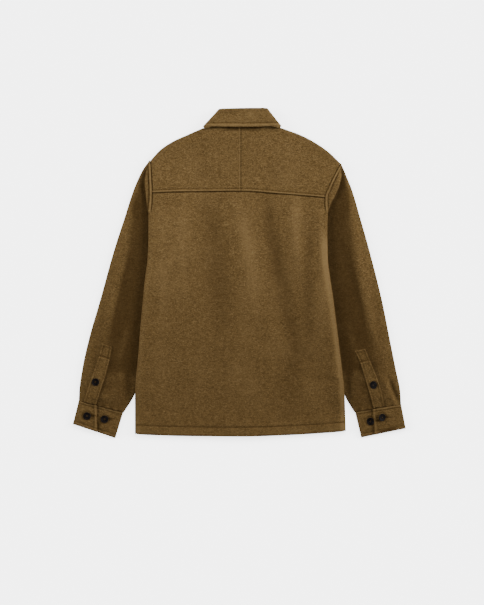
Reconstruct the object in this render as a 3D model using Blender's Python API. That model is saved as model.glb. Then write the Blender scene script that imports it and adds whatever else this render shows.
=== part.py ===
"""Wool shacket lying face down on a flat surface, back up.

The cloth is a wall of one thickness. Its middle surface is worked out from
tables of sections in millimetres, +X to the viewer's right, +Y to the collar
and +Z up, and every wall is that surface moved out to both sides.
"""
import math
from collections import namedtuple

import bmesh
import bpy

MM = 0.001
CLOTH = 2.4            # wall of brushed wool
SEAM = 0.17            # half the gap between two pieces at a seam
LAY = 0.4              # gap between cloths that lie on each other
STEP_OUT = CLOTH + LAY
LOW = CLOTH / 2        # middle of a cloth that rests on the surface
BODY_DEPTH = 5.8       # front to back, middle to middle, at a side fold

# Side folds of the body, side seams beneath and the lifted zone's inner line.
Side = namedtuple("Side", "y left right seam")
SIDES = [
    Side(-395, 249.0, 254.6, 236),
    Side(-290, 248.8, 251.0, 226),
    Side(-200, 241.3, 241.3, 205),
    Side(-125, 235.6, 232.0, 188),
    Side(-60, 229.4, 223.8, 175),
    Side(-17, 225.3, 217.2, 167),
    Side(43, 217.9, 210.4, 158),
    Side(92, 216.6, 209.8, 150),
    Side(142, 216.4, 210.8, 150),
]
# The back armhole seam on top and the fold of the sleeve head beside it.
Armhole = namedtuple("Armhole", "y left right fold_left fold_right")
ARMHOLES = [
    Armhole(142, 211.9, 206.4, 216.4, 210.8),
    Armhole(165, 209.6, 204.9, 219.4, 217.0),
    Armhole(182, 208.6, 205.4, 221.4, 227.0),
    Armhole(200, 208.6, 212.2, 223.6, 235.0),
    Armhole(221, 209.8, 221.4, 224.4, 241.0),
    Armhole(240, 210.6, 231.0, 221.6, 245.6),
    Armhole(256, 211.3, 239.6, 218.2, 246.6),
    Armhole(264, 212.2, 243.0, 215.6, 247.0),
]
# The front armhole seam beneath.
Under = namedtuple("Under", "y left right")
FRONT_ARMHOLES = [
    Under(92, 152, 152),
    Under(110, 161, 162),
    Under(130, 172, 176),
    Under(165, 187, 196),
    Under(200, 196, 210),
    Under(232, 208.6, 226.8),
    Under(252, 211.4, 237.0),
    Under(264, 213.0, 242.6),
]
# Sleeve: the outer edge and the inner edge, which lies under the body.
Edge = namedtuple("Edge", "y left right")
SLEEVE_OUT = [
    Edge(-314, 383.5, 386.4),
    Edge(-292, 383.2, 385.7),
    Edge(-230, 375.2, 374.1),
    Edge(-162, 360.3, 360.5),
    Edge(-65, 332.4, 341.0),
    Edge(54, 299.2, 311.0),
    Edge(132, 274.0, 289.0),
    Edge(198, 252.6, 269.4),
    Edge(230, 239.0, 256.6),
    Edge(252, 227.0, 247.4),
    Edge(268, 214.4, 238.6),
]
SLEEVE_IN = [
    Edge(-336, 279.8, 278.9),
    Edge(-292, 252.5, 253.2),
    Edge(-139, 215, 216),
    Edge(-17, 183, 184),
    Edge(92, 152, 152),
    Edge(150, 150, 150),
]
Lift = namedtuple("Lift", "y inner rise")
LIFTS = [
    Lift(-420, 330, 5.6),
    Lift(-334, 276, 5.6),
    Lift(-292, 249, 5.6),
    Lift(-139, 211, 5.6),
    Lift(-17, 179, 5.6),
    Lift(92, 148, 5.6),
    Lift(132, 150, 5.6),
    Lift(165, 158, 4.0),
    Lift(215, 178, 3.8),
    Lift(250, 205, 1.2),
    Lift(272, 230, 0.0),
    Lift(400, 330, 0.0),
]
LIFT_RAMP = 45
# The shoulder lines from the neck point to the armhole, and the collar.
Spot = namedtuple("Spot", "x y")
SHOULDER = {
    -1: [Spot(-78, 349.6), Spot(-88, 345.4), Spot(-127.7, 328.0),
         Spot(-178.1, 302.8), Spot(-213.4, 267.6)],
    1: [Spot(92, 349.8), Spot(102, 345.6), Spot(141.8, 331.3),
        Spot(175.4, 314.5), Spot(208.6, 292.8), Spot(241.6, 261.4)],
}
FRONT_YOKE = 35        # how far each yoke goes down the front
SHOULDER_COLS = [0, 0.14, 0.35, 0.6, 0.82, 1]
YOKE_SEAM = [Spot(-215, 190.4), Spot(-125, 193.6), Spot(7, 194.5), Spot(107, 187.8), Spot(215, 178.4)]
HEM = [Spot(-256, -387.4), Spot(-125, -391.6), Spot(6, -392.5), Spot(130, -388.6), Spot(260, -380.0)]
CENTRE_BACK = 3.0
NECK_X = 9.0           # middle of the neck
CORNER = 9.0           # round of the hem corners
HEM_TURN = 22.0        # turned-up hem
HEM_PLY = 2.0          # what the turn adds inside

# Front edge: the band lies lowest, the other front over it.
BAND_OUT = 22.0
BAND_IN = -12.0
BAND_RAISE = 3.5       # the buttons lie under the band
OTHER_FRONT = -11.0    # edge of the front that lies on the band
FRONT_NECK = 293.0
FRONT_NECK_END = {-1: Spot(-12.0, 298.0), 1: Spot(30.0, 298.0)}
NECK_REACH = 88.0      # length of the neck seam on each front

BUTTON_R = 9.0
BUTTON_H = 3.0
FRONT_BUTTONS = 6

Cuff = namedtuple("Cuff", "out_top out_low in_low in_top lap_top lap_low")
CUFFS = {
    -1: Cuff(Spot(384.0, -307.0), Spot(398.2, -363.0), Spot(298.4, -396.4), Spot(279.6, -334.6), 0.40, 0.57),
    1: Cuff(Spot(387.0, -315.8), Spot(398.2, -373.2), Spot(293.6, -394.9), Spot(278.8, -333.4), 0.62, 0.70),
}
CUFF_SLOPE = {-1: 0.264, 1: 0.163}
HEAD_SLOPE = 0.25

Strip = namedtuple("Strip", "out_x out_y in_x in_y step")
PLACKETS = {
    -1: [Strip(373.0, -309.4, 343.0, -316.6, 0), Strip(362.0, -276.0, 331.6, -281.0, 0),
         Strip(349.5, -240.0, 320.0, -245.0, 0), Strip(335.4, -199.4, 310.6, -207.6, 0),
         Strip(334.6, -197.0, 309.9, -205.2, -1), Strip(328.0, -168.6, 305.0, -178.0, -1)],
    1: [Strip(347.8, -320.2, 321.4, -324.2, 0), Strip(340.6, -286.0, 312.4, -290.0, 0),
        Strip(329.0, -250.0, 301.8, -254.0, 0), Strip(312.6, -209.6, 289.6, -215.6, 0),
        Strip(311.7, -207.2, 288.6, -213.0, -1), Strip(301.7, -182.5, 276.5, -187.0, -1)],
}
BOX_DROP = 0.9         # the stitched box lies lower than the strip
Button = namedtuple("Button", "name x y on")
SLEEVE_BUTTONS = {
    -1: [Button("cuff_button_left_1", 364.8, -343.3, "lap"), Button("cuff_button_left_2", 323.0, -351.2, "cuff"),
         Button("placket_button_left", 344.2, -261.7, "placket")],
    1: [Button("cuff_button_right_1", 341.8, -346.7, "lap"), Button("cuff_button_right_2", 312.0, -356.4, "cuff"),
        Button("placket_button_right", 321.6, -268.7, "placket")],
}
SIDE_NAMES = {-1: "left", 1: "right"}


def smooth(t):
    """Ease from 0 to 1."""
    t = min(1.0, max(0.0, t))
    return t * t * (3 - 2 * t)


def mix(a, b, t):
    return a + (b - a) * t


def along(rows, key, value, at):
    """Read a column of a table at a place, on a smooth curve through its rows."""
    rows = sorted(rows, key=lambda row: getattr(row, key))
    xs = [getattr(row, key) for row in rows]
    ys = [getattr(row, value) for row in rows]
    at = min(xs[-1], max(xs[0], at))
    i = max(k for k in range(len(xs) - 1) if xs[k] <= at)
    slopes = [(ys[k + 1] - ys[k]) / (xs[k + 1] - xs[k]) for k in range(len(xs) - 1)]

    def tangent(k):
        if k == 0 or k == len(xs) - 1:
            return slopes[min(k, len(slopes) - 1)]
        before, after = slopes[k - 1], slopes[k]
        return 0.0 if before * after <= 0 else 2 * before * after / (before + after)

    h = xs[i + 1] - xs[i]
    t = (at - xs[i]) / h
    return (ys[i] * (1 + 2 * t) * (1 - t) ** 2 + tangent(i) * h * t * (1 - t) ** 2
            + ys[i + 1] * t * t * (3 - 2 * t) + tangent(i + 1) * h * t * t * (t - 1))


def side_of(side):
    return SIDE_NAMES[side]


def body_edge(side, y):
    return along(SIDES, "y", side_of(side), y)


def armhole(side, y):
    return along(ARMHOLES, "y", side_of(side), y)


def head_fold(side, y):
    return along(ARMHOLES, "y", "fold_" + side_of(side), y)


def lifted(x, y):
    """How far the sleeves tucked beneath lift the body."""
    inner = along(LIFTS, "y", "inner", y)
    return along(LIFTS, "y", "rise", y) * smooth((abs(x) - inner + LIFT_RAMP) / LIFT_RAMP)


def collar_zone(x, y):
    return smooth((y - 228) / 30) * smooth((128 - abs(x - NECK_X)) / 34)


def under(x, y):
    """Middle of the cloth that lies beneath: fronts, front yoke and folded sides."""
    return LOW + max(lifted(x, y), 3.4 * collar_zone(x, y))


def over(x, y):
    """Middle of the cloth on top: back and yoke."""
    ridge = 3.3 * (1 - smooth((abs(x - 5) - 30) / 52))
    hem = 2.4 * smooth((-330 - y) / 32)
    return LOW + lifted(x, y) + BODY_DEPTH + hem + max(ridge, 3.0 * collar_zone(x, y))


def hem_y(x, gap=0.0):
    """Hem line with its round corners."""
    side = 1 if x > 0 else -1
    inside = body_edge(side, -385) - abs(x)
    rise = CORNER - math.sqrt(max(0.0, CORNER ** 2 - max(0.0, CORNER - inside) ** 2))
    return along(HEM, "x", "y", x) + 0.6 * rise + gap


def yoke_seam(x):
    return along(YOKE_SEAM, "x", "y", x)


class Wall:
    """A cloth wall: points on its middle surface with the way out at each."""

    def __init__(self):
        self.keys = {}
        self.points = []
        self.faces = []

    def point(self, p, way, out=CLOTH / 2, back=CLOTH / 2):
        key = tuple(round(c, 3) for c in p)
        if key not in self.keys:
            self.keys[key] = len(self.points)
            self.points.append((p, way, out, back))
        return self.keys[key]

    def patch(self, rows):
        """Add a grid of (point, way out, out, back) rows."""
        grid = [[self.point(*spot) for spot in row] for row in rows]
        for a, b in zip(grid, grid[1:]):
            for i in range(len(a) - 1):
                corners = []
                for k in (a[i], a[i + 1], b[i + 1], b[i]):
                    if k not in corners:
                        corners.append(k)
                if len(corners) > 2:
                    self.faces.append(corners)

    def make(self, name, material):
        mesh = bpy.data.meshes.new(name)
        shell = bmesh.new()
        outer, inner = [], []
        for p, way, out, back in self.points:
            size = math.sqrt(sum(c * c for c in way))
            outer.append(shell.verts.new([(p[k] + way[k] / size * out) * MM for k in range(3)]))
            inner.append(shell.verts.new([(p[k] - way[k] / size * back) * MM for k in range(3)]))
        uses = {}
        for face in self.faces:
            shell.faces.new([outer[k] for k in face])
            shell.faces.new([inner[k] for k in reversed(face)])
            for a, b in zip(face, face[1:] + face[:1]):
                uses.setdefault(frozenset((a, b)), []).append((a, b))
        for edge in uses.values():
            if len(edge) == 1:
                a, b = edge[0]
                shell.faces.new([outer[b], outer[a], inner[a], inner[b]])
        bmesh.ops.recalc_face_normals(shell, faces=shell.faces)
        bmesh.ops.triangulate(shell, faces=shell.faces)
        shell.to_mesh(mesh)
        shell.free()
        mesh.materials.append(material)
        piece = bpy.data.objects.new(name, mesh)
        bpy.context.collection.objects.link(piece)
        return piece


def on_top(x, y, out=CLOTH / 2, back=CLOTH / 2):
    return (x, y, over(x, y)), (0, 0, 1), out, back


def beneath(x, y, out=CLOTH / 2, back=CLOTH / 2):
    return (x, y, under(x, y)), (0, 0, -1), out, back


def bend(edge, inward, low, high, turn, out=CLOTH / 2, back=CLOTH / 2):
    """A point on the half round of a fold; turn runs from 1 on top to -1 beneath."""
    r = (high - low) / 2
    angle = turn * math.pi / 2
    d = r * (1 - math.cos(angle))
    p = (edge[0] + inward[0] * d, edge[1] + inward[1] * d, low + r + r * math.sin(angle))
    way = (-inward[0] * math.cos(angle), -inward[1] * math.cos(angle), math.sin(angle))
    return p, way, out, back


BENDS = (1, 0.5, 0, -0.5, -1)


def ply(y, x):
    """How thick the inside is: the hem is turned up."""
    return CLOTH / 2 + (HEM_PLY if y < hem_y(x) + HEM_TURN + 0.5 else 0)


def body_rows():
    """Heights of the body's rows, as a share of the way from hem to yoke seam."""
    return [-386, -378, -371.6, -368.6, -345, -320, -292, -262, -228, -190, -150, -105,
            -60, -17, 25, 60, 92, 117, 142]


def back_panel(material):
    wall = Wall()
    rows = body_rows()
    spread = [-1, -0.9, -0.78, -0.64, -0.48, -0.35, -0.2, -0.05,
              0.1, 0.25, 0.38, 0.5, 0.66, 0.8, 0.91, 1]

    def at(x, y):
        """Rows follow the hem at the bottom."""
        share = smooth((-250 - y) / 136)
        return y + share * (hem_y(x) + 386)

    def inset(side, y):
        return armhole(side, y) - SEAM if y > 142 else body_edge(side, y) - 4.7

    grid = []
    for y in rows:
        ends = {side: inset(side, y) for side in (-1, 1)}
        line = []
        for s in spread:
            x = mix(-ends[-1], ends[1], (s + 1) / 2)
            yy = at(x, y)
            line.append(on_top(x, yy, back=ply(yy, x)))
        grid.append(line)
    for k, share in enumerate((0.33, 0.66, 1)):
        line = []
        for s in spread:
            ends = {side: inset(side, mix(142, yoke_seam(side * 208), share)) for side in (-1, 1)}
            x = mix(-ends[-1], ends[1], (s + 1) / 2)
            line.append(on_top(x, mix(142, yoke_seam(x) - SEAM, share)))
        grid.append(line)
    wall.patch(grid)

    for side in (-1, 1):
        grid = []
        for y in rows:
            edge = body_edge(side, y)
            top = edge - 4.7
            x = side * top
            yy = at(x, y)
            line = [on_top(x, yy, back=ply(yy, x))]
            yb = at(side * (edge - 3), y)
            low, high = under(side * (edge - 3), yb), over(side * (edge - 3), yb)
            inner = ply(yb, x) if y < -345 else CLOTH / 2
            for turn in BENDS:
                line.append(bend((side * edge, yb), (-side, 0), low, high, turn, back=inner))
            end = along(SIDES, "y", "seam", y) + SEAM if y <= 92 else mix(150, 204, (y - 92) / 50)
            start = edge - (high - low) / 2
            for share in (0.2, 0.45, 0.72, 1):
                x = side * mix(start, end, share)
                yy = at(x, y)
                line.append(beneath(x, yy, back=ply(yy, x)))
            grid.append(line)
        wall.patch(grid)
    return wall.make("back_panel", material)


def shoulder_point(side, share):
    """A point on the shoulder line, by its share of the way out."""
    spots = SHOULDER[side]
    x = mix(spots[0].x, spots[-1].x, share)
    return x, along(spots, "x", "y", x)


def neck_edge(x, gap):
    """The back neck seam, which the collar hides."""
    ends = (SHOULDER[-1][0], SHOULDER[1][0])
    width = ends[1].x - ends[0].x
    t = (x - ends[0].x) / width
    line = mix(ends[0].y, ends[1].y, t) + 3.0
    return line + 1.2 * math.sin(math.pi * t) + gap


def front_neck(side, t):
    """The neck seam on the front, from the shoulder (0) to its end near the band (1)."""
    start = SHOULDER[side][0]
    end = FRONT_NECK_END[side]
    bow = 9.0 * math.sin(math.pi * t)
    return (mix(start.x, end.x, t) + side * bow * 0.6, mix(start.y, end.y, t) - bow * 0.6)


def yoke_front_edge(side, share, d):
    """A place on the yoke's front part, d down from the shoulder line."""
    tx, ty = shoulder_point(side, share)
    if share == 0:
        x, y = front_neck(side, d / NECK_REACH)
        return x + side * SEAM, y - SEAM
    if share == 1:
        y = ty - 0.97 * d
        return side * (along(FRONT_ARMHOLES, "y", side_of(side), y) - SEAM), y
    way = yoke_way(side, share)
    return tx + way[0] * d, ty + way[1] * d


def yoke_way(side, share):
    """The direction from the shoulder line into the yoke."""
    spots = SHOULDER[side]
    tx, ty = shoulder_point(side, share)
    centre = CENTRE_BACK + side * SEAM
    reach = abs(tx - centre) / abs(spots[-1].x - centre)
    bx = mix(centre, side * (armhole(side, yoke_seam(side * 208)) - SEAM), reach)
    dx, dy = bx - tx, yoke_seam(bx) + SEAM - ty
    if share == 1:
        dx, dy = side * armhole(side, 240) - tx, 240 - ty
    size = math.hypot(dx, dy)
    return dx / size, dy / size


def yoke(side, material):
    wall = Wall()
    spots = SHOULDER[side]
    neck_x = spots[0].x
    centre = CENTRE_BACK + side * SEAM
    neck_cols = [0, 0.33, 0.66]
    tops = [(mix(centre, neck_x, t), None) for t in neck_cols]
    tops += [shoulder_point(side, t) for t in SHOULDER_COLS]
    first = len(neck_cols)
    arm_low = armhole(side, yoke_seam(side * 208)) - SEAM
    count = len(tops)
    shares = [0, 0.18, 0.4, 0.62, 0.82, 0.93, 1]
    columns = []
    for k, (tx, ty) in enumerate(tops):
        reach = abs(tx - centre) / abs(spots[-1].x - centre)
        bx = mix(centre, side * arm_low, reach)
        by = yoke_seam(bx) + SEAM
        line = []
        if ty is None:
            ty = neck_edge(tx, -SEAM - 3.0)
            for t in shares:
                line.append(on_top(mix(bx, tx, t), mix(by, ty, t)))
            columns.append((line, None))
            continue
        shoulder_share = SHOULDER_COLS[k - first]
        way = yoke_way(side, shoulder_share)
        low, high = under(tx + way[0] * 3, ty + way[1] * 3), over(tx + way[0] * 3, ty + way[1] * 3)
        r = (high - low) / 2
        ex, ey = tx + way[0] * (r + 1.6), ty + way[1] * (r + 1.6)
        for t in shares:
            x, y = mix(bx, ex, t), mix(by, ey, t)
            if k == count - 1:
                x = side * (armhole(side, y) - SEAM)
            line.append(on_top(x, y))
        wrap = [line[-1]]
        wrap += [bend((tx, ty), way, low, high, turn) for turn in BENDS]
        for share in (0.25, 0.6, 1):
            wrap.append(beneath(*yoke_front_edge(side, shoulder_share, mix(r, FRONT_YOKE - SEAM, share))))
        columns.append((line, wrap))
    wall.patch([line for line, wrap in columns])
    wall.patch([wrap for line, wrap in columns[first:]])
    return wall.make("yoke_" + side_of(side), material)


def front_height(side, x, y):
    """The fronts lie low; near the middle one rises over the buttons, the other over the band."""
    low = under(x, y)
    if side < 0:
        rise = BAND_RAISE * smooth((x + 46) / 30)
        return max(low, LOW + rise)
    rise = (BAND_RAISE + STEP_OUT) * (1 - smooth((x - 30) / 34))
    return max(low, LOW + rise)


def front(side, material):
    """One front: the hem, the side seam and armhole, the front yoke seam and the neck."""
    wall = Wall()
    inner_x = BAND_IN - SEAM if side < 0 else OTHER_FRONT
    rows = [-388, -380, -370.6, -345, -318, -292, -262, -228, -190, -150, -105, -60, -17, 25, 60, 92]
    spread = [0, 0.1, 0.22, 0.36, 0.5, 0.6, 0.68, 0.77, 0.88, 1]

    def spot(x, y):
        return (x, y, front_height(side, x, y)), (0, 0, -1), CLOTH / 2, CLOTH / 2

    grid = []
    for y in rows:
        outer = side * (along(SIDES, "y", "seam", y) - SEAM)
        grid.append([spot(mix(outer, inner_x, s), mix(y, y + hem_y(mix(outer, inner_x, s)) + 388,
                                                      smooth((-250 - y) / 138))) for s in spread])
    top_line = [yoke_front_edge(side, t, FRONT_YOKE + SEAM) for t in reversed(SHOULDER_COLS)]
    neck = [0.6, 0.8, 0.9, 1] if side < 0 else [0.6, 0.8, 1]
    for t in neck:
        x, y = front_neck(side, t)
        top_line.append((x + side * SEAM, y - 2 * SEAM))
    if side > 0:
        top_line.append((inner_x, FRONT_NECK))
    steps = [0.14, 0.3, 0.48, 0.66, 0.83, 1]
    for step in steps:
        line = []
        for s, top in zip(spread, top_line):
            start_x = mix(side * (along(SIDES, "y", "seam", 92) - SEAM), inner_x, s)
            x, y = mix(start_x, top[0], step), mix(92, top[1], step)
            if s == 0:
                x = side * (along(FRONT_ARMHOLES, "y", side_of(side), y) - 3 * SEAM)
            line.append(spot(x, y))
        grid.append(line)
    wall.patch(grid)
    return wall.make("front_" + side_of(side), material)


def front_band(material):
    wall = Wall()
    grid = []
    for y in [-388, -345, -292, -228, -150, -60, 25, 92, 150, 205, 250, FRONT_NECK]:
        line = []
        for x in (BAND_IN + SEAM, mix(BAND_IN, BAND_OUT, 0.5), BAND_OUT):
            yy = mix(y, hem_y(x), smooth((-250 - y) / 138))
            z = max(under(x, yy), LOW + BAND_RAISE)
            line.append(((x, yy, z), (0, 0, -1), CLOTH / 2, CLOTH / 2))
        grid.append(line)
    wall.patch(grid)
    return wall.make("front_band", material)


def sleeve_top(side, x, y):
    """Middle of the sleeve's upper cloth: a valley at the body, a soft swell outside it."""
    edge = head_fold(side, y) if y > 142 else body_edge(side, y)
    out = along(SLEEVE_OUT, "y", side_of(side), y)
    away = smooth((abs(x) - edge - 4) / 46)
    near = 0.3 + 0.7 * smooth((out - abs(x)) / 26)
    return LOW + STEP_OUT + 2.6 * away * near


def sleeve_low(side, x, y):
    rise = along(LIFTS, "y", "rise", y) * smooth((y - 136) / 29)
    seam = along(FRONT_ARMHOLES, "y", side_of(side), y)
    return LOW + rise * (1 - smooth((abs(x) - seam) / 15))


def meet(start, slope, curve):
    """Where a row that falls inward meets an edge."""
    x = start[0] - 60
    for _ in range(12):
        x = curve(start[1] - slope * (start[0] - x))
    return x, start[1] - slope * (start[0] - x)


Tip = namedtuple("Tip", "out seam")
APEX = {-1: Tip(265.4, 260.6), 1: Tip(258.0, 253.6)}
SLEEVE_HEAD = [(266.4, 262.6), (260, 256), (252, 247), (243, 237), (232, 225), (219, 211), (205, 196),
               (189, 178), (172, 160)]
CROSSING = {-1: 157.0, 1: 160.8}   # where the row that starts under the body begins
SLEEVE_ROWS = [139, 121, 98, 72, 42, 10, -25, -60, -95, -130, -162, -190, -216, -240, -262, -282, -297]


def sleeve(side, material):
    wall = Wall()
    name = side_of(side)
    first = CROSSING[side]
    tip = APEX[side]
    head = [(mix(first, tip.out, (a - 155) / 111.4), mix(142.4, tip.seam, (b - 142) / 120.6))
            for a, b in SLEEVE_HEAD]
    last = CUFFS[side].out_top.y + 0.34
    rows = []
    for out_y, seam_y in head:
        rows.append((out_y, seam_y, None))
    for out_y in [first] + SLEEVE_ROWS + [last]:
        share = smooth((first - out_y) / (first - last))
        rows.append((out_y, None, mix(HEAD_SLOPE, CUFF_SLOPE[side], share)))

    top, head_part, hidden, fold, low, inner_fold = [], [], [], [], [], []
    for out_y, seam_y, slope in rows:
        out_x = along(SLEEVE_OUT, "y", name, out_y)
        if out_y == last:
            out_x = CUFFS[side].out_top.x
        start = (out_x, out_y)
        crossing = out_y == first
        if slope is None:
            seam_x = armhole(side, seam_y) + SEAM
            slope = (out_y - seam_y) / max(0.5, out_x - seam_x)
            end = (seam_x, seam_y)
            under_x = along(FRONT_ARMHOLES, "y", name, seam_y) + SEAM
            under_end = (under_x, seam_y)
            is_head = True
        else:
            end = meet(start, slope, lambda y: along(SLEEVE_IN, "y", name, y))
            under_end = end
            if end[1] > 92.5:
                under_end = meet(start, slope, lambda y: along(FRONT_ARMHOLES, "y", name, y) + SEAM)
            is_head = False
        size = math.hypot(1, slope)
        way = (-1 / size, -slope / size)

        def plan(x):
            return x, start[1] - slope * (start[0] - x)

        def top_spot(x):
            x, y = plan(x)
            return (side * x, y, sleeve_top(side, x, y)), (0, 0, 1), CLOTH / 2, CLOTH / 2

        z_low = LOW
        z_high = sleeve_top(side, out_x - 3, out_y)
        if is_head:
            near = smooth((out_y - 236) / 30)
            z_high = mix(z_high, over(side * (out_x - 4), out_y), near)
        r = (z_high - z_low) / 2
        room = out_x - end[0]
        bite = min(r, room * 0.55)

        def turned(turn):
            angle = turn * math.pi / 2
            d = bite * (1 - math.cos(angle))
            p = (side * (start[0] + way[0] * d), start[1] + way[1] * d, z_low + r + r * math.sin(angle))
            out = (-side * way[0] * math.cos(angle), -way[1] * math.cos(angle), math.sin(angle))
            return p, out, CLOTH / 2, CLOTH / 2

        fold.append([turned(t) for t in BENDS])
        inside = out_x + way[0] * bite
        edge_y = plan(end[0] + 8)[1] if is_head else plan(body_edge(side, out_y - 30))[1]
        edge = head_fold(side, edge_y) if (is_head or crossing) else body_edge(side, edge_y)
        foot = edge + 3.2
        if is_head:
            foot = min(foot, mix(end[0], inside, 0.72))
            edge = min(edge, mix(end[0], inside, 0.55))
        else:
            foot = max(foot, end[0] + 10)
        line = [fold[-1][0]]
        for share in (0.12, 0.28, 0.46, 0.64, 0.82, 1):
            x = mix(inside, foot, share)
            spot = top_spot(x)
            if is_head:
                near = smooth((out_y - 236) / 30)
                p = spot[0]
                spot = ((p[0], p[1], mix(p[2], over(p[0], p[1]), near)),) + spot[1:]
            line.append(spot)
        top.append(line)
        if is_head or crossing:
            seam_end = end[0] if is_head else armhole(side, 142) + SEAM
            strip = [line[-1]]
            for share, height in ((0.45, 0.5), (1, 1)):
                x = mix(foot, edge, share)
                px, py = plan(x)
                top_z = over(side * px, py) - 0.5
                z = mix(line[-1][0][2], top_z, height)
                drop = max(0.0, top_z - line[-1][0][2]) / (foot - edge + 2.0) * (1.0 if height < 1 else 0.4)
                strip.append(((side * px, py, z), (side * drop, 0, 1), CLOTH / 2, CLOTH / 2))
            for share in (0.5, 1):
                px, py = plan(mix(edge, seam_end, share))
                strip.append(on_top(side * px, py))
            head_part.append(strip)
        if not is_head:
            line = [line[-1]]
            joined = end[1] <= 92.5
            stop = end[0] + (1.5 if joined else 0)
            for share in (0.25, 0.5, 0.75, 1):
                line.append(top_spot(mix(foot, stop, share)))
            hidden.append(line)
            if joined:
                z_top_in = line[-1][0][2]
                half = (z_top_in - LOW) / 2
                knots = []
                for turn in (1, 0.5, 0, -0.5, -1):
                    angle = turn * math.pi / 2
                    x = stop - half * math.cos(angle)
                    px, py = plan(x)
                    out = (-side * math.cos(angle), 0, math.sin(angle))
                    knots.append(((side * px, py, LOW + half + half * math.sin(angle)), out,
                                  CLOTH / 2, CLOTH / 2))
                inner_fold.append(knots)
        line = [fold[-1][-1]]
        stop = under_end[0] + (1.5 if (not is_head and end[1] <= 92.5) else 0)
        inner_slope = (under_end[1] - start[1]) / (under_end[0] - start[0]) if abs(under_end[0] - start[0]) > 1 else 0
        for share in (0.2, 0.42, 0.62, 0.8, 0.92, 1):
            x = mix(inside, stop, share)
            y = start[1] + inner_slope * (x - start[0])
            line.append(((side * x, y, sleeve_low(side, x, y)), (0, 0, -1), CLOTH / 2, CLOTH / 2))
        low.append(line)
    for grid in (top, head_part, hidden, fold, low, inner_fold):
        wall.patch(grid)
    return wall.make("sleeve_" + name, material)


CUFF_LOW = LOW
CUFF_MID = LOW + STEP_OUT
CUFF_LAP = LOW + 2 * STEP_OUT


def cuff_plan(side, w, v):
    """A place on the cuff: w from its outer edge to its inner edge, v down it."""
    c = CUFFS[side]
    top = (mix(c.out_top.x, c.in_top.x, w), mix(c.out_top.y, c.in_top.y, w))
    low = (mix(c.out_low.x, c.in_low.x, w), mix(c.out_low.y, c.in_low.y, w))
    return side * mix(top[0], low[0], v), mix(top[1], low[1], v)


def cuff(side, material):
    wall = Wall()
    c = CUFFS[side]
    grid = []
    for v in (0.004, 0.25, 0.5, 0.75, 1):
        lap = mix(c.lap_top, c.lap_low, v)
        line = []

        def flat(w, z, up):
            x, y = cuff_plan(side, w, v)
            return (x, y, z), (0, 0, up), CLOTH / 2, CLOTH / 2

        for share in (0, 0.5, 1):
            line.append(flat(mix(lap - 0.27, lap, share), CUFF_MID, 1))
        for share in (0.3, 0.6, 0.85):
            line.append(flat(mix(lap, 0.985, share), CUFF_MID, 1))
        half = (CUFF_MID - CUFF_LOW) / 2
        for turn in (1, 0.5, 0, -0.5, -1):
            angle = turn * math.pi / 2
            x, y = cuff_plan(side, 0.985 + 0.015 * math.cos(angle), v)
            line.append(((x, y, CUFF_LOW + half + half * math.sin(angle)),
                         (-side * math.cos(angle), 0, math.sin(angle)), CLOTH / 2, CLOTH / 2))
        for w in (0.85, 0.65, 0.45, 0.25, 0.1):
            line.append(flat(w, CUFF_LOW, -1))
        half = (CUFF_LAP - CUFF_LOW) / 2
        for turn in reversed(BENDS):
            angle = turn * math.pi / 2
            x, y = cuff_plan(side, 0.03 * (1 - math.cos(angle)), v)
            line.append(((x, y, CUFF_LOW + half + half * math.sin(angle)),
                         (side * math.cos(angle), 0, math.sin(angle)), CLOTH / 2, CLOTH / 2))
        for share in (0.3, 0.65, 1):
            line.append(flat(mix(0.03, lap, share), CUFF_LAP, 1))
        grid.append(line)
    wall.patch(grid)
    return wall.make("cuff_" + side_of(side), material)


def placket(side, material):
    wall = Wall()
    grid = []
    rows = []
    table = PLACKETS[side]
    for a, b in zip(table, table[1:]):
        parts = 3 if abs(a.out_y - b.out_y) > 8 else 1
        for k in range(parts):
            rows.append(Strip(*[mix(p, q, k / parts) for p, q in zip(a, b)]))
    rows.append(table[-1])
    for row in rows:
        line = []
        for share in (0, 0.5, 1):
            x, y = mix(row.out_x, row.in_x, share), mix(row.out_y, row.in_y, share)
            z = sleeve_top(side, x, y) + CLOTH / 2 + LAY + 0.2 + 1.0
            line.append(((side * x, y, z), (0, 0, 1), 1.2 + BOX_DROP * row.step, 1.0))
        grid.append(line)
    wall.patch(grid)
    return wall.make("sleeve_placket_" + side_of(side), material)


LEAF_BACK = 3.4        # leaf above stand, middle to middle
STAND_LOW = LOW + 3.4
STAND_HIGH = LOW + BODY_DEPTH + 3.0
LEAF_HIGH = STAND_HIGH + LEAF_BACK
FOLD_LEFT, FOLD_RIGHT = Spot(-46.0, 393.9), Spot(65.0, 395.6)
LEAF_LEFT, LEAF_RIGHT = Spot(-86.6, 349.8), Spot(100.6, 350.6)
POINT_LEFT, POINT_RIGHT = Spot(-66.0, 262.0), Spot(85.0, 262.0)
MEET_LEFT, MEET_RIGHT = Spot(1.0, 306.0), Spot(17.0, 306.0)


def leaf_edge(t):
    """Lower edge of the leaf on the back."""
    x = mix(LEAF_LEFT.x, LEAF_RIGHT.x, t)
    return x, mix(LEAF_LEFT.y, LEAF_RIGHT.y, t) - 1.6 * math.sin(math.pi * t)


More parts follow.
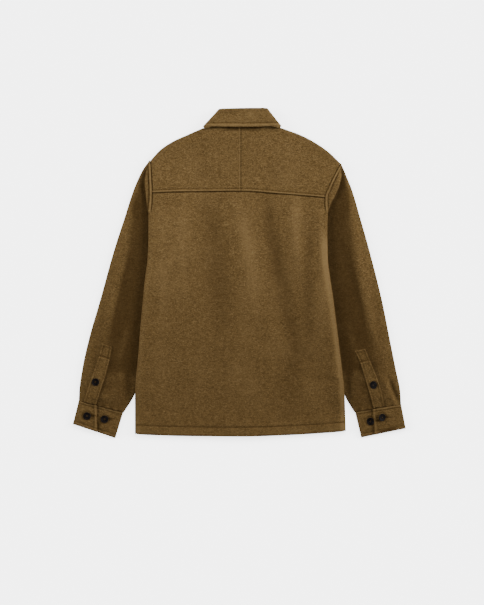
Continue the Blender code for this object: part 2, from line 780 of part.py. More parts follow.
def collar_leaf(material):
    """The leaf: over the back, round both sides and under the fronts to its points."""
    wall = Wall()
    lift_edge = 1.6
    reach = (0, 0.22, 0.5, 0.8, 1)
    grid = []
    flap = (1, 0.72, 0.42, 0.12)
    for fold_end, edge_end, side in ((MEET_LEFT, POINT_LEFT, -1),):
        for t in flap:
            line = []
            for s in reach:
                fx, fy = mix(FOLD_LEFT.x, fold_end.x, t), mix(FOLD_LEFT.y, fold_end.y, t)
                ex, ey = mix(LEAF_LEFT.x, edge_end.x, t), mix(LEAF_LEFT.y, edge_end.y, t)
                line.append(((mix(fx, ex, s), mix(fy, ey, s), LOW), (0, 0, -1), CLOTH / 2, CLOTH / 2))
            grid.append(line)

    def side_line(side, turn):
        fold_at, edge_at = (FOLD_LEFT, LEAF_LEFT) if side < 0 else (FOLD_RIGHT, LEAF_RIGHT)
        angle = turn * math.pi / 2
        line = []
        for s in reach:
            top = LEAF_HIGH + lift_edge * s
            r = (top - LOW) / 2
            inward = 5.2 * (1 - math.cos(angle))
            x = mix(fold_at.x, edge_at.x, s) - side * inward * 0.8
            y = mix(fold_at.y, edge_at.y, s) - inward * 0.6
            way = (side * 0.74 * math.cos(angle), 0.67 * math.cos(angle), math.sin(angle))
            line.append(((x, y, LOW + r + r * math.sin(angle)), way, CLOTH / 2, CLOTH / 2))
        return line

    for turn in (-1, -0.66, -0.33, 0, 0.33, 0.66, 1):
        grid.append(side_line(-1, turn))
    for t in (0.12, 0.25, 0.38, 0.5, 0.62, 0.75, 0.88):
        line = []
        for s in reach:
            fx, fy = mix(FOLD_LEFT.x, FOLD_RIGHT.x, t), mix(FOLD_LEFT.y, FOLD_RIGHT.y, t)
            ex, ey = leaf_edge(t)
            line.append(((mix(fx, ex, s), mix(fy, ey, s), LEAF_HIGH + lift_edge * s), (0, 0, 1),
                         CLOTH / 2, CLOTH / 2))
        grid.append(line)
    for turn in (1, 0.66, 0.33, 0, -0.33, -0.66, -1):
        grid.append(side_line(1, turn))
    for t in reversed(flap):
        line = []
        for s in reach:
            fx, fy = mix(FOLD_RIGHT.x, MEET_RIGHT.x, t), mix(FOLD_RIGHT.y, MEET_RIGHT.y, t)
            ex, ey = mix(LEAF_RIGHT.x, POINT_RIGHT.x, t), mix(LEAF_RIGHT.y, POINT_RIGHT.y, t)
            line.append(((mix(fx, ex, s), mix(fy, ey, s), LOW), (0, 0, -1), CLOTH / 2, CLOTH / 2))
        grid.append(line)
    wall.patch(grid)
    return wall.make("collar_leaf", material)


def collar_stand(material):
    """The stand inside the leaf, from the neck seam to the collar's fold."""
    wall = Wall()
    reach = (0, 0.5, 1)
    inset = 6.4
    neck = {-1: Spot(SHOULDER[-1][0].x + 2.5, SHOULDER[-1][0].y + 1.2),
            1: Spot(SHOULDER[1][0].x - 2.5, SHOULDER[1][0].y + 1.2)}
    top = {-1: Spot(FOLD_LEFT.x + inset * 0.6, FOLD_LEFT.y - inset * 0.8),
           1: Spot(FOLD_RIGHT.x - inset * 0.6, FOLD_RIGHT.y - inset * 0.8)}
    front_top = {-1: Spot(-5.0, 322.0), 1: Spot(23.0, 322.0)}
    grid = []

    def front_line(side, t):
        line = []
        for s in reach:
            nx, ny = front_neck(side, t)
            nx, ny = nx - side * SEAM, ny + 2 * SEAM
            tx, ty = mix(top[side].x, front_top[side].x, t), mix(top[side].y, front_top[side].y, t)
            line.append(((mix(nx, tx, s), mix(ny, ty, s), STAND_LOW), (0, 0, -1), CLOTH / 2, CLOTH / 2))
        return line

    def side_line(side, turn):
        angle = turn * math.pi / 2
        r = (STAND_HIGH - STAND_LOW) / 2
        line = []
        for s in reach:
            x = mix(neck[side].x, top[side].x, s) - side * r * (1 - math.cos(angle)) * 0.8
            y = mix(neck[side].y, top[side].y, s) - r * (1 - math.cos(angle)) * 0.6
            way = (side * 0.74 * math.cos(angle), 0.67 * math.cos(angle), math.sin(angle))
            line.append(((x, y, STAND_LOW + r + r * math.sin(angle)), way, CLOTH / 2, CLOTH / 2))
        return line

    for t in (1, 0.7, 0.4, 0.15):
        grid.append(front_line(-1, t))
    for turn in (-1, -0.5, 0, 0.5, 1):
        grid.append(side_line(-1, turn))
    for t in (0.17, 0.33, 0.5, 0.67, 0.83):
        line = []
        for s in reach:
            nx = mix(neck[-1].x, neck[1].x, t)
            ny = neck_edge(nx, SEAM - 3.0)
            tx, ty = mix(top[-1].x, top[1].x, t), mix(top[-1].y, top[1].y, t)
            line.append(((mix(nx, tx, s), mix(ny, ty, s), STAND_HIGH), (0, 0, 1), CLOTH / 2, CLOTH / 2))
        grid.append(line)
    for turn in (1, 0.5, 0, -0.5, -1):
        grid.append(side_line(1, turn))
    for t in (0.15, 0.4, 0.7, 1):
        grid.append(front_line(1, t))
    wall.patch(grid)
    return wall.make("collar_stand", material)


def button(name, x, y, z, material):
    """A turned button with a raised rim, lying flat."""
    profile = [(0.0, 0.0), (0.86, 0.0), (1.0, 0.35), (0.9, 1.0), (0.64, 0.72), (0.0, 0.68)]
    sides = 14
    mesh = bpy.data.meshes.new(name)
    shell = bmesh.new()
    rings = []
    for share, height in profile:
        if share == 0.0:
            rings.append([shell.verts.new((x * MM, y * MM, (z + height * BUTTON_H) * MM))])
            continue
        rings.append([shell.verts.new(((x + BUTTON_R * share * math.cos(2 * math.pi * k / sides)) * MM,
                                       (y + BUTTON_R * share * math.sin(2 * math.pi * k / sides)) * MM,
                                       (z + height * BUTTON_H) * MM)) for k in range(sides)])
    for a, b in zip(rings, rings[1:]):
        for k in range(sides):
            n = (k + 1) % sides
            if len(a) == 1:
                shell.faces.new([a[0], b[n], b[k]])
            elif len(b) == 1:
                shell.faces.new([a[k], a[n], b[0]])
            else:
                shell.faces.new([a[k], a[n], b[n], b[k]])
    bmesh.ops.recalc_face_normals(shell, faces=shell.faces)
    bmesh.ops.triangulate(shell, faces=shell.faces)
    shell.to_mesh(mesh)
    shell.free()
    mesh.materials.append(material)
    piece = bpy.data.objects.new(name, mesh)
    bpy.context.collection.objects.link(piece)
    return piece


def buttons(material):
    for side, table in SLEEVE_BUTTONS.items():
        for spec in table:
            if spec.on == "lap":
                z = CUFF_LAP + CLOTH / 2
            elif spec.on == "cuff":
                z = CUFF_MID + CLOTH / 2
            else:
                z = sleeve_top(side, spec.x, spec.y) + CLOTH / 2 + LAY + 0.2 + 1.0 + 1.2
                z += 0.15
            button(spec.name, side * spec.x, spec.y, z + LAY, material)
    for k in range(FRONT_BUTTONS):
        y = mix(262, -300, k / (FRONT_BUTTONS - 1))
        button("front_button_%d" % (k + 1), (BAND_IN + BAND_OUT) / 2, y, 0.0, material)


def finish(name, color, roughness):
    material = bpy.data.materials.new(name)
    material.use_nodes = True
    shader = material.node_tree.nodes["Principled BSDF"]
    shader.inputs["Base Color"].default_value = (*color, 1)
    shader.inputs["Roughness"].default_value = roughness
    shader.inputs["Metallic"].default_value = 0
    return material


def main():
    for item in list(bpy.data.objects):
        bpy.data.objects.remove(item, do_unlink=True)
    wool = finish("olive_wool", (0.14, 0.081, 0.026), 0.95)
    horn = finish("dark_button", (0.012, 0.011, 0.012), 0.35)
    back_panel(wool)
    for side in (-1, 1):
        yoke(side, wool)
        front(side, wool)
        sleeve(side, wool)
        cuff(side, wool)
        placket(side, wool)
    front_band(wool)
    collar_leaf(wool)
    collar_stand(wool)
    buttons(horn)


main()
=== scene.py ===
"""Looks of a brushed-wool shacket that lies face down on a pale surface, back up.

Every cloth is a thin shell on the form of its solid, worked out from the same
tables in millimetres and far finer, with its folds, seam ribs and stitching.
"""
import math
from collections import namedtuple

import bmesh
import bpy
import numpy as np
from mathutils import Matrix, Vector, noise
from mathutils.bvhtree import BVHTree


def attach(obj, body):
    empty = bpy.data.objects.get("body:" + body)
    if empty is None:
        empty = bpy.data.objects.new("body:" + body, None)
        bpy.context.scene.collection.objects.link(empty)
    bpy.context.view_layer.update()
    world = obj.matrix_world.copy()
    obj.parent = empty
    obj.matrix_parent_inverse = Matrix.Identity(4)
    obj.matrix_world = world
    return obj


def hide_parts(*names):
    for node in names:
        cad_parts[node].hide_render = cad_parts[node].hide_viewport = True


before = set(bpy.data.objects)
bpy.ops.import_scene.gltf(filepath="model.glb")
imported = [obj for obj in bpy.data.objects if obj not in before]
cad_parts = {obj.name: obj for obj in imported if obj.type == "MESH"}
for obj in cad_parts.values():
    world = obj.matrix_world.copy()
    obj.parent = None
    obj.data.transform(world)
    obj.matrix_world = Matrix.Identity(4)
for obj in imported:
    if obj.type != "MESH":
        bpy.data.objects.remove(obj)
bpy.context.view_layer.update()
bpy.ops.object.select_all(action="DESELECT")

MM = 0.001
CLOTH = 2.4            # wall of brushed wool
SEAM = -0.35           # the pieces run a little into each other at a seam
LAY = 0.4              # gap between cloths that lie on each other
STEP_OUT = CLOTH + LAY
LOW = CLOTH / 2        # middle of a cloth that rests on the surface
BODY_DEPTH = 5.8       # front to back, middle to middle, at a side fold
RIDGE = 3.3            # how much higher the middle of the back lies
HEM_RISE = 2.4         # how much higher the turned hem lies
COLLAR_UNDER = 3.4     # how the collar lifts the cloth beneath it and the cloth on top
COLLAR_OVER = 3.0
ARM_FOOT = 142         # lower end of the back armhole seam
UNDER_FOOT = 92        # lower end of the front armhole seam
SIDE_NAMES = {-1: "left", 1: "right"}
FINE = 3.6             # spacing of the shell's points on plain cloth


def table(kind, *rows):
    """Rows of a table, each value under its name."""
    return [kind(*row) for row in rows]


# Side folds of the body and the side seams beneath
Side = namedtuple("Side", "y left right seam")
SIDES = table(Side, (-395, 249.0, 254.6, 236), (-290, 248.8, 251.0, 226), (-200, 241.3, 241.3, 205),
              (-125, 235.6, 232.0, 188), (-60, 229.4, 223.8, 175), (-17, 225.3, 217.2, 167),
              (43, 217.9, 210.4, 158), (92, 216.6, 209.8, 150), (142, 216.4, 210.8, 150))
# The back armhole seam on top and the fold of the sleeve head beside it
Armhole = namedtuple("Armhole", "y left right fold_left fold_right")
ARMHOLES = table(Armhole, (142, 211.9, 206.4, 216.4, 210.8), (165, 209.6, 204.9, 219.4, 217.0),
                 (182, 208.6, 205.4, 221.4, 227.0), (200, 208.6, 212.2, 223.6, 235.0),
                 (221, 209.8, 221.4, 224.4, 241.0), (240, 210.6, 231.0, 221.6, 245.6),
                 (256, 211.3, 239.6, 218.2, 246.6), (264, 212.2, 243.0, 215.6, 247.0))
# The front armhole seam beneath
Edge = namedtuple("Edge", "y left right")
FRONT_ARMHOLES = table(Edge, (92, 152, 152), (110, 161, 162), (130, 172, 176), (165, 187, 196),
                       (200, 196, 210), (232, 208.6, 226.8), (252, 211.4, 237.0), (264, 213.0, 242.6))
# Sleeve: the outer edge and the inner edge, which lies under the body
SLEEVE_OUT = table(Edge, (-314, 383.5, 386.4), (-292, 383.2, 385.7), (-230, 375.2, 374.1),
                   (-162, 360.3, 360.5), (-65, 332.4, 341.0), (54, 299.2, 311.0), (132, 274.0, 289.0),
                   (198, 252.6, 269.4), (230, 239.0, 256.6), (252, 227.0, 247.4), (268, 214.4, 238.6))
SLEEVE_IN = table(Edge, (-336, 279.8, 278.9), (-292, 252.5, 253.2), (-139, 215, 216),
                  (-17, 183, 184), (92, 152, 152), (150, 150, 150))
# How far the tucked sleeves lift the body, outwards of a line
Lift = namedtuple("Lift", "y inner rise")
LIFTS = table(Lift, (-420, 330, 5.6), (-334, 276, 5.6), (-292, 249, 5.6), (-139, 211, 5.6),
              (-17, 179, 5.6), (92, 148, 5.6), (132, 150, 5.6), (165, 158, 4.0),
              (215, 178, 3.8), (250, 205, 1.2), (272, 230, 0.0), (400, 330, 0.0))
LIFT_RAMP = 45
# The shoulder lines from the neck point to the armhole
Spot = namedtuple("Spot", "x y")
SHOULDER = {
    -1: table(Spot, (-78, 349.6), (-88, 345.4), (-127.7, 328.0), (-178.1, 302.8), (-213.4, 267.6)),
    1: table(Spot, (92, 349.8), (102, 345.6), (141.8, 331.3), (175.4, 314.5), (208.6, 292.8),
             (241.6, 261.4)),
}
SHOULDER_COLS = [0, 0.14, 0.35, 0.6, 0.82, 1]
FRONT_YOKE = 35        # how far each yoke goes down the front
YOKE_SEAM = table(Spot, (-215, 190.4), (-125, 193.6), (7, 194.5), (107, 187.8), (215, 178.4))
YOKE_END = 208.0       # where the yoke seam meets the armhole
HEM = table(Spot, (-256, -387.4), (-125, -391.6), (6, -392.5), (130, -388.6), (260, -380.0))
CENTRE_BACK = 3.0
NECK_X = 9.0           # middle of the neck
CORNER = 9.0           # round of the hem corners
HEM_TURN = 22.0        # turned-up hem
HEM_PLY = 2.0          # what the turn adds inside
SIDE_INSET = 4.7       # where the back's flat part ends before its side fold

# Front edge: the band lies lowest, the other front over it
BAND_OUT = 22.0
BAND_IN = -12.0
BAND_RAISE = 3.5       # the buttons lie under the band
OTHER_FRONT = -11.0    # edge of the front that lies on the band
FRONT_NECK = 293.0
FRONT_NECK_END = {-1: Spot(-12.0, 298.0), 1: Spot(30.0, 298.0)}
NECK_REACH = 88.0      # length of the neck seam on each front

# Sleeve head and rows: heights on the outer edge and on the seam
Tip = namedtuple("Tip", "out seam")
APEX = {-1: Tip(268.5, 265.5), 1: Tip(262.0, 259.2)}
SLEEVE_HEAD = table(Tip, (266.4, 262.6), (260, 256), (252, 247), (243, 237), (232, 225), (219, 211),
                    (205, 196), (189, 178), (172, 160))
CROSSING = {-1: 157.0, 1: 160.8}   # where the row that starts under the body begins
SLEEVE_ROWS = [139, 121, 98, 72, 42, 10, -25, -60, -95, -130, -162, -190, -216, -240, -262, -282, -297]
HEAD_SLOPE = 0.25      # how the rows fall inward at the head and at the cuff
CUFF_SLOPE = {-1: 0.264, 1: 0.163}
SLEEVE_SWELL = 2.6     # how far a sleeve's middle stands above its valley at the body
SLEEVE_CREST = 4.6     # how far its crest stands above its solid

Cuff = namedtuple("Cuff", "out_top out_low in_low in_top lap_top lap_low")
CUFFS = {
    -1: Cuff(*table(Spot, (384.0, -307.0), (398.2, -363.0), (298.4, -396.4), (279.6, -334.6)), 0.40, 0.57),
    1: Cuff(*table(Spot, (387.0, -315.8), (398.2, -373.2), (293.6, -394.9), (278.8, -333.4)), 0.62, 0.70),
}
CUFF_MID = LOW + STEP_OUT
CUFF_LAP = LOW + 2 * STEP_OUT

Strip = namedtuple("Strip", "out_x out_y in_x in_y step")
PLACKETS = {
    -1: table(Strip, (373.0, -309.4, 343.0, -316.6, 0), (362.0, -276.0, 331.6, -281.0, 0),
              (349.5, -240.0, 320.0, -245.0, 0), (335.4, -199.4, 310.6, -207.6, 0),
              (334.6, -197.0, 309.9, -205.2, -1), (328.0, -168.6, 305.0, -178.0, -1)),
    1: table(Strip, (347.8, -320.2, 321.4, -324.2, 0), (340.6, -286.0, 312.4, -290.0, 0),
             (329.0, -250.0, 301.8, -254.0, 0), (312.6, -209.6, 289.6, -215.6, 0),
             (311.7, -207.2, 288.6, -213.0, -1), (301.7, -182.5, 276.5, -187.0, -1)),
}
BOX_DROP = 0.9         # the stitched box lies lower than the strip

# Collar leaf: its fold and edge on the back, its points and where it meets the front edges
Leaf = namedtuple("Leaf", "fold edge point meet")
LEAF = {
    -1: Leaf(*table(Spot, (-46.0, 393.9), (-86.6, 349.8), (-66.0, 262.0), (1.0, 306.0))),
    1: Leaf(*table(Spot, (65.0, 395.6), (100.6, 350.6), (85.0, 262.0), (17.0, 306.0))),
}
LEAF_BACK = 3.4        # leaf above stand, middle to middle
LEAF_SAG = 1.6         # bow of the leaf's lower edge
LEAF_LIFT = 1.6        # how much higher its edge lies than its fold
STAND_LOW = LOW + COLLAR_UNDER
STAND_HIGH = LOW + BODY_DEPTH + COLLAR_OVER
LEAF_HIGH = STAND_HIGH + LEAF_BACK
STAND_FRONT = {-1: Spot(-5.0, 322.0), 1: Spot(23.0, 322.0)}
STAND_INSET = 6.4      # how far the stand's top lies inside the leaf's fold
COLLAR_FACING = (0.74, 0.67)       # which way the collar's sides face
LEAF_TURN = 5.2        # how far the leaf's side folds go in
ROLL = LEAF_BACK / 2   # radius of the collar's fold
ROLL_TURNS = (180, 150, 120, 90, 60, 30)
ROLL_RUN = 7.5         # how far the fold's cloth runs on inside

# Buttons: two on each cuff, then one on the placket; lean in radians about X and about Y
BUTTON_R = 9.0
BUTTON_H = 3.0
FRONT_BUTTONS = 6
RIM = 1.5              # width of the flat rim
DISH_SLOPE = 0.9       # width of the slope down into the dish
DISH = 0.85            # how deep the dish is
HOLE_R = 0.95
HOLE_RING = 1.9        # how far the holes lie from the middle
HOLES = [(HOLE_RING * math.cos(a), HOLE_RING * math.sin(a))
         for a in (math.pi / 4 + k * math.pi / 2 for k in range(4))]
Button = namedtuple("Button", "name x y lean")
SLEEVE_BUTTONS = {
    -1: table(Button, ("cuff_button_left_1", 364.8, -343.3, (0.06, -0.05)),
              ("cuff_button_left_2", 323.0, -351.2, (-0.05, 0.08)),
              ("placket_button_left", 344.2, -261.7, (0.05, 0.06))),
    1: table(Button, ("cuff_button_right_1", 341.8, -346.7, (0.08, 0.5)),
             ("cuff_button_right_2", 312.0, -356.4, (0.04, -0.12)),
             ("placket_button_right", 321.6, -268.7, (0.08, -0.55))),
}
# Buttons partly under the edge that laps over them: how far towards it, and how deep
TUCKED = {"cuff_button_right_2": (2.6, -1.2)}
THREAD = 0.42          # radius of the topstitching thread
KNOT_THREAD = 0.34     # the button thread: its radius, where it starts and how high it goes
KNOT_FOOT = 1.7
KNOT_ARCH = 0.7
STITCH = 3.3           # length of one stitch
STITCH_GAP = 0.9
STITCH_SINK = 0.12
# How far the topstitching runs from each edge or seam
YOKE_STITCH = 6.2
ARM_STITCH = 7.2
LEAF_STITCH = 9.0
CUFF_LOW_STITCH = 8.8
CUFF_TOP_STITCH = 6.8
STRIP_STITCH = 5.0
BOX_STITCH = 4.2

VALLEY_PAINTED_SHADE = 0.68     # how much darker the painted shade in valleys and troughs makes the cloth at most
# Painted highlight: how much lighter the cloth is on ridges at most
RIDGE_PAINTED_HIGHLIGHT = 0.6
HEM_PAINTED_SHADE = 0.36        # painted shade: the cloth darkens towards the hem, where less light falls
# Colour that painted shade blends towards
PAINTED_SHADE_COLOUR = (0.0122, 0.0062, 0.0016)
WOOL_COLOURS = {"Deep": (0.033, 0.0196, 0.0066), "Body": (0.059, 0.0358, 0.0127),
                "Light": (0.125, 0.081, 0.034)}
THREAD_COLOURS = {"Deep": (0.036, 0.021, 0.0065), "Body": (0.052, 0.031, 0.01),
                  "Light": (0.08, 0.05, 0.018)}
HORN_DARK = (0.0017, 0.0013, 0.0012, 1)
HORN_LIGHT = (0.0062, 0.0048, 0.0044, 1)

CAMERA_HEIGHT = 5.0
VIEW_WIDTH = 1.1616    # metres across the frame at the surface
VIEW_MIDDLE = (0.0065, -0.0714)
SENSOR = 36
FLOOR_COLOUR = (0.93, 0.93, 0.928, 1)
FLOOR_GLOW = 2.6
ROOM_COLOUR = (0.93, 0.96, 1.0, 1)
ROOM_LIGHT = 0.62
# Name, where it comes from, how broad it is in radians, strength
LIGHTS = [
    ("side_left", (-3.2, 0.55, 1.15), 0.42, 6.6),
    ("side_right", (3.2, 0.75, 1.15), 0.42, 8.0),
    ("top_key", (0.9, 2.6, 2.4), 0.6, 3.5),
]

# A flat cut of a piece in metres (width, length) and the share of that rectangle it fills
Cut = namedtuple("Cut", "width length share")

# Folds of the cloth: from one end to the other, half width, height (a trough is below 0), side bow
Fold = namedtuple("Fold", "x1 y1 x2 y2 width height bow")
BACK_FOLDS = table(
    Fold, (-80, 200, -36, -190, 34, -1.8, -8), (-8, 180, 44, -90, 22, 1.8, -6),
    (66, 215, 96, -20, 20, -2.2, 6), (94, 60, 146, -230, 25, -2.1, 4), (136, 200, 146, -30, 17, 2.0, 3),
    (168, 160, 170, -200, 17, -1.9, 3), (196, 160, 204, -150, 13, 1.6, 0),
    (-128, 170, -128, -80, 26, 1.2, 6), (-190, 120, -186, -150, 20, 1.3, -4),
    (-10, -120, 24, -330, 34, 0.9, 4), (-90, -150, -110, -350, 30, 0.7, 0),
    (136, -190, 120, -350, 34, -1.2, 8), (208, -236, 232, -262, 9, -1.1, 6),
    (214, -258, 240, -250, 7, 1.0, -6), (-214, -210, -150, -300, 30, 0.8, 8),
    (-170, -330, -60, -368, 16, -0.7, -6), (30, -352, 150, -340, 14, -0.7, 6))
YOKE_FOLDS = table(
    Fold, (-84, 190, -92, 330, 26, -1.0, 0), (-140, 190, -150, 300, 22, 1.0, 0),
    (70, 190, 96, 330, 20, -1.0, 0), (120, 190, 150, 310, 18, 1.2, 0),
    (-190, 262, -120, 318, 9, -0.5, 3), (160, 306, 210, 268, 9, -0.5, -3))
SLEEVE_FOLDS = {
    -1: table(Fold, (-268, 100, -336, -190, 12, 1.7, -6), (-246, 60, -300, -150, 11, -1.9, 4),
              (-318, -20, -352, -230, 9, -1.1, -3), (-258, 200, -232, 120, 12, -1.3, 8),
              (-262, -120, -290, -240, 9, 1.1, 4), (-276, -200, -268, -300, 8, -1.2, -4),
              (-290, -262, -372, -268, 8, -0.8, -10), (-286, -292, -368, -296, 6, 0.9, -6),
              (-262, -236, -300, -262, 7, 0.9, 3)),
    1: table(Fold, (276, 90, 338, -190, 12, 1.7, 6), (246, 60, 296, -150, 11, -1.9, -4),
             (322, -20, 352, -230, 9, -1.1, 3), (266, 206, 236, 120, 12, -1.3, -8),
             (258, -120, 284, -240, 9, 1.1, -4), (270, -190, 262, -300, 8, -1.4, 4),
             (359, -250, 385, -314, 4.8, -4.2, 2), (348, -256, 374, -318, 5.5, 2.6, 2),
             (284, -270, 330, -262, 7, -0.8, 4), (268, -236, 300, -256, 7, 0.8, -3)),
}


def smooth(t):
    """Ease from 0 to 1."""
    t = min(1.0, max(0.0, t))
    return t * t * (3 - 2 * t)


def mix(a, b, t):
    return a + (b - a) * t


def between(a, b, t):
    """A spot on the straight line between two spots."""
    return Spot(mix(a.x, b.x, t), mix(a.y, b.y, t))


def along(rows, key, value, at):
    """Read a column of a table at a place, on a smooth curve through its rows."""
    rows = sorted(rows, key=lambda row: getattr(row, key))
    xs = [getattr(row, key) for row in rows]
    ys = [getattr(row, value) for row in rows]
    at = min(xs[-1], max(xs[0], at))
    i = max(k for k in range(len(xs) - 1) if xs[k] <= at)
    slopes = [(ys[k + 1] - ys[k]) / (xs[k + 1] - xs[k]) for k in range(len(xs) - 1)]

    def tangent(k):
        if k == 0 or k == len(xs) - 1:
            return slopes[min(k, len(slopes) - 1)]
        before, after = slopes[k - 1], slopes[k]
        return 0.0 if before * after <= 0 else 2 * before * after / (before + after)

    h = xs[i + 1] - xs[i]
    t = (at - xs[i]) / h
    return (ys[i] * (1 + 2 * t) * (1 - t) ** 2 + tangent(i) * h * t * (1 - t) ** 2
            + ys[i + 1] * t * t * (3 - 2 * t) + tangent(i + 1) * h * t * t * (t - 1))


def line_of(rows, side, y):
    """A line that each side has its own of."""
    return along(rows, "y", SIDE_NAMES[side], y)


def body_edge(side, y):
    return line_of(SIDES, side, y)


def side_seam(y):
    return along(SIDES, "y", "seam", y)


def armhole(side, y):
    return line_of(ARMHOLES, side, y)


def front_armhole(side, y):
    return line_of(FRONT_ARMHOLES, side, y)


def sleeve_out(side, y):
    return line_of(SLEEVE_OUT, side, y)


def head_fold(side, y):
    return along(ARMHOLES, "y", "fold_" + SIDE_NAMES[side], y)


def yoke_seam(x):
    return along(YOKE_SEAM, "x", "y", x)


def hem_y(x):
    """Hem line with its round corners."""
    inside = body_edge(1 if x > 0 else -1, -385) - abs(x)
    rise = CORNER - math.sqrt(max(0.0, CORNER ** 2 - max(0.0, CORNER - inside) ** 2))
    return along(HEM, "x", "y", x) + 0.6 * rise


def follow_hem(x, y, foot):
    """Rows follow the hem line at the bottom."""
    return y + smooth((-250 - y) / (foot - 250)) * (hem_y(x) + foot)


def lifted(x, y):
    """How far the sleeves tucked beneath lift the body."""
    inner = along(LIFTS, "y", "inner", y)
    return along(LIFTS, "y", "rise", y) * smooth((abs(x) - inner + LIFT_RAMP) / LIFT_RAMP)


def collar_zone(x, y):
    return smooth((y - 228) / 30) * smooth((128 - abs(x - NECK_X)) / 34)


def under(x, y):
    """Middle of the cloth that lies beneath: fronts, front yoke and folded sides."""
    return LOW + max(lifted(x, y), COLLAR_UNDER * collar_zone(x, y))


def over(x, y):
    """Middle of the cloth on top: back and yoke."""
    ridge = RIDGE * (1 - smooth((abs(x - 5) - 30) / 52))
    hem = HEM_RISE * smooth((-330 - y) / 32)
    return LOW + lifted(x, y) + BODY_DEPTH + hem + max(ridge, COLLAR_OVER * collar_zone(x, y))


def steps(spots, spacing=FINE, least=1):
    """How many parts each stretch between rows is cut into."""
    return [max(least, math.ceil(abs(b - a) / spacing)) for a, b in zip(spots, spots[1:])]


def finer(grid, counts):
    """A grid with smooth in-between lines, through every line that was given."""
    points = grid[:, :, :3]
    chord = np.maximum(np.linalg.norm(np.diff(points, axis=0), axis=2, keepdims=True), 1e-6)
    slope = np.where(chord > 0.02, np.diff(grid, axis=0) / chord, 0.0)
    tangent = np.empty_like(grid)
    tangent[0], tangent[-1] = slope[0], slope[-1]
    if len(grid) > 2:
        before, after = chord[:-1], chord[1:]
        tangent[1:-1] = (slope[:-1] * after + slope[1:] * before) / (before + after)
    lines = []
    for i, count in enumerate(counts):
        h = chord[i]
        for k in range(count):
            t = k / count
            line = (grid[i] * (1 + 2 * t) * (1 - t) ** 2 + tangent[i] * h * t * (1 - t) ** 2
                    + grid[i + 1] * t * t * (3 - 2 * t) + tangent[i + 1] * h * t * t * (t - 1))
            line[:, 6:] = grid[i][:, 6:] * (1 - t) + grid[i + 1][:, 6:] * t
            lines.append(line)
    lines.append(grid[-1])
    return np.array(lines)


def joined(parts):
    """Corners and faces of several meshes as one."""
    corners, faces = [], []
    for more, loops in parts:
        faces += [[k + len(corners) for k in loop] for loop in loops]
        corners += more
    return corners, faces


def closed_piece(name, corners, faces, material):
    """A smooth piece from corners in millimetres, its faces turned outwards."""
    mesh = bpy.data.meshes.new(name)
    mesh.from_pydata((np.array(corners) * MM).tolist(), [], faces)
    shell = bmesh.new()
    shell.from_mesh(mesh)
    bmesh.ops.recalc_face_normals(shell, faces=shell.faces)
    shell.to_mesh(mesh)
    shell.free()
    mesh.materials.append(material)
    mesh.shade_smooth()
    piece = bpy.data.objects.new(name, mesh)
    bpy.context.collection.objects.link(piece)
    return piece


class Wall:
    """A thin cloth shell: points on its middle surface with the way out at each."""

    def __init__(self, relief, shade=None):
        self.relief = relief
        self.shade = shade
        self.points = []
        self.faces = []
        self.borders = {}

    def spot(self, values, border):
        """The number of a point; patches share the points of their borders."""
        if border:
            cell = tuple(int(math.floor(c / 0.25)) for c in values[:3])
            for dx, dy, dz in np.ndindex(3, 3, 3):
                for k in self.borders.get((cell[0] + dx - 1, cell[1] + dy - 1, cell[2] + dz - 1), ()):
                    if np.linalg.norm(self.points[k][:3] - values[:3]) < 0.2:
                        return k
            self.borders.setdefault(cell, []).append(len(self.points))
        self.points.append(values)
        return len(self.points) - 1

    def patch(self, rows, down, across):
        """Add rows of (point, way out, thickness out, thickness back), cut finer both ways."""
        grid = np.array([[[*p, *way, out, back] for p, way, out, back in row] for row in rows])
        grid = finer(grid, down)
        grid = finer(grid.transpose(1, 0, 2), across).transpose(1, 0, 2)
        high, wide = grid.shape[:2]
        names = [[self.spot(grid[i, j], i in (0, high - 1) or j in (0, wide - 1))
                  for j in range(wide)] for i in range(high)]
        for a, b in zip(names, names[1:]):
            for j in range(wide - 1):
                corners = list(dict.fromkeys((a[j], a[j + 1], b[j + 1], b[j])))
                if len(corners) > 2:
                    self.faces.append(corners)

    def make(self, name, material):
        spots = np.array(self.points)
        way = spots[:, 3:6] / np.linalg.norm(spots[:, 3:6], axis=1, keepdims=True)
        soft, fine = self.relief(spots, way)
        outer = spots[:, :3] + way * (spots[:, 6:7] + (soft + fine)[:, None])
        inner = spots[:, :3] - way * (spots[:, 7:8] - soft[:, None])
        for side_points in (outer, inner):
            side_points[:, 2] = np.maximum(side_points[:, 2], 0.0)
        count = len(spots)
        faces = self.faces + [[k + count for k in reversed(face)] for face in self.faces]
        uses = {}
        for face in self.faces:
            for a, b in zip(face, face[1:] + face[:1]):
                uses.setdefault(frozenset((a, b)), []).append((a, b))
        for edge in uses.values():
            if len(edge) == 1:
                a, b = edge[0]
                faces.append([b, a, a + count, b + count])
        piece = closed_piece(name + "_wool", np.vstack([outer, inner]), faces, material)
        # Painted shade in the cloth's fine grooves and seams and painted highlight on its fine ridges; a
        # piece's shade function adds its own painted shade and highlight
        valley = np.clip(-fine * 0.5, -0.55, 0.85)
        if self.shade:
            valley = np.clip(valley + self.shade(spots, way), -1, 1)
        layer = piece.data.attributes.new("valley", "FLOAT", "POINT")
        layer.data.foreach_set("value", np.tile(valley, 2))
        return piece


def ease(t):
    t = np.clip(t, 0.0, 1.0)
    return t * t * (3 - 2 * t)


def dip(d, at, width):
    """A soft line across a distance, 1 at its middle."""
    return np.exp(-((d - at) / width) ** 2)


def plump(d, start, end, soft=0.9):
    """A band with soft edges, 1 inside."""
    return ease((d - start) / soft) * ease((end - d) / soft)


def folds(x, y, table):
    """Soft troughs and ridges, eased at their ends."""
    rise = np.zeros_like(x)
    for f in table:
        dx, dy = f.x2 - f.x1, f.y2 - f.y1
        size = math.hypot(dx, dy)
        t = ((x - f.x1) * dx + (y - f.y1) * dy) / size ** 2
        off = ((x - f.x1) * dy - (y - f.y1) * dx) / size - f.bow * np.sin(np.pi * np.clip(t, 0, 1))
        rise += f.height * dip(off, 0, f.width) * ease((t + 0.2) / 0.55) * ease((1.2 - t) / 0.55)
    return rise


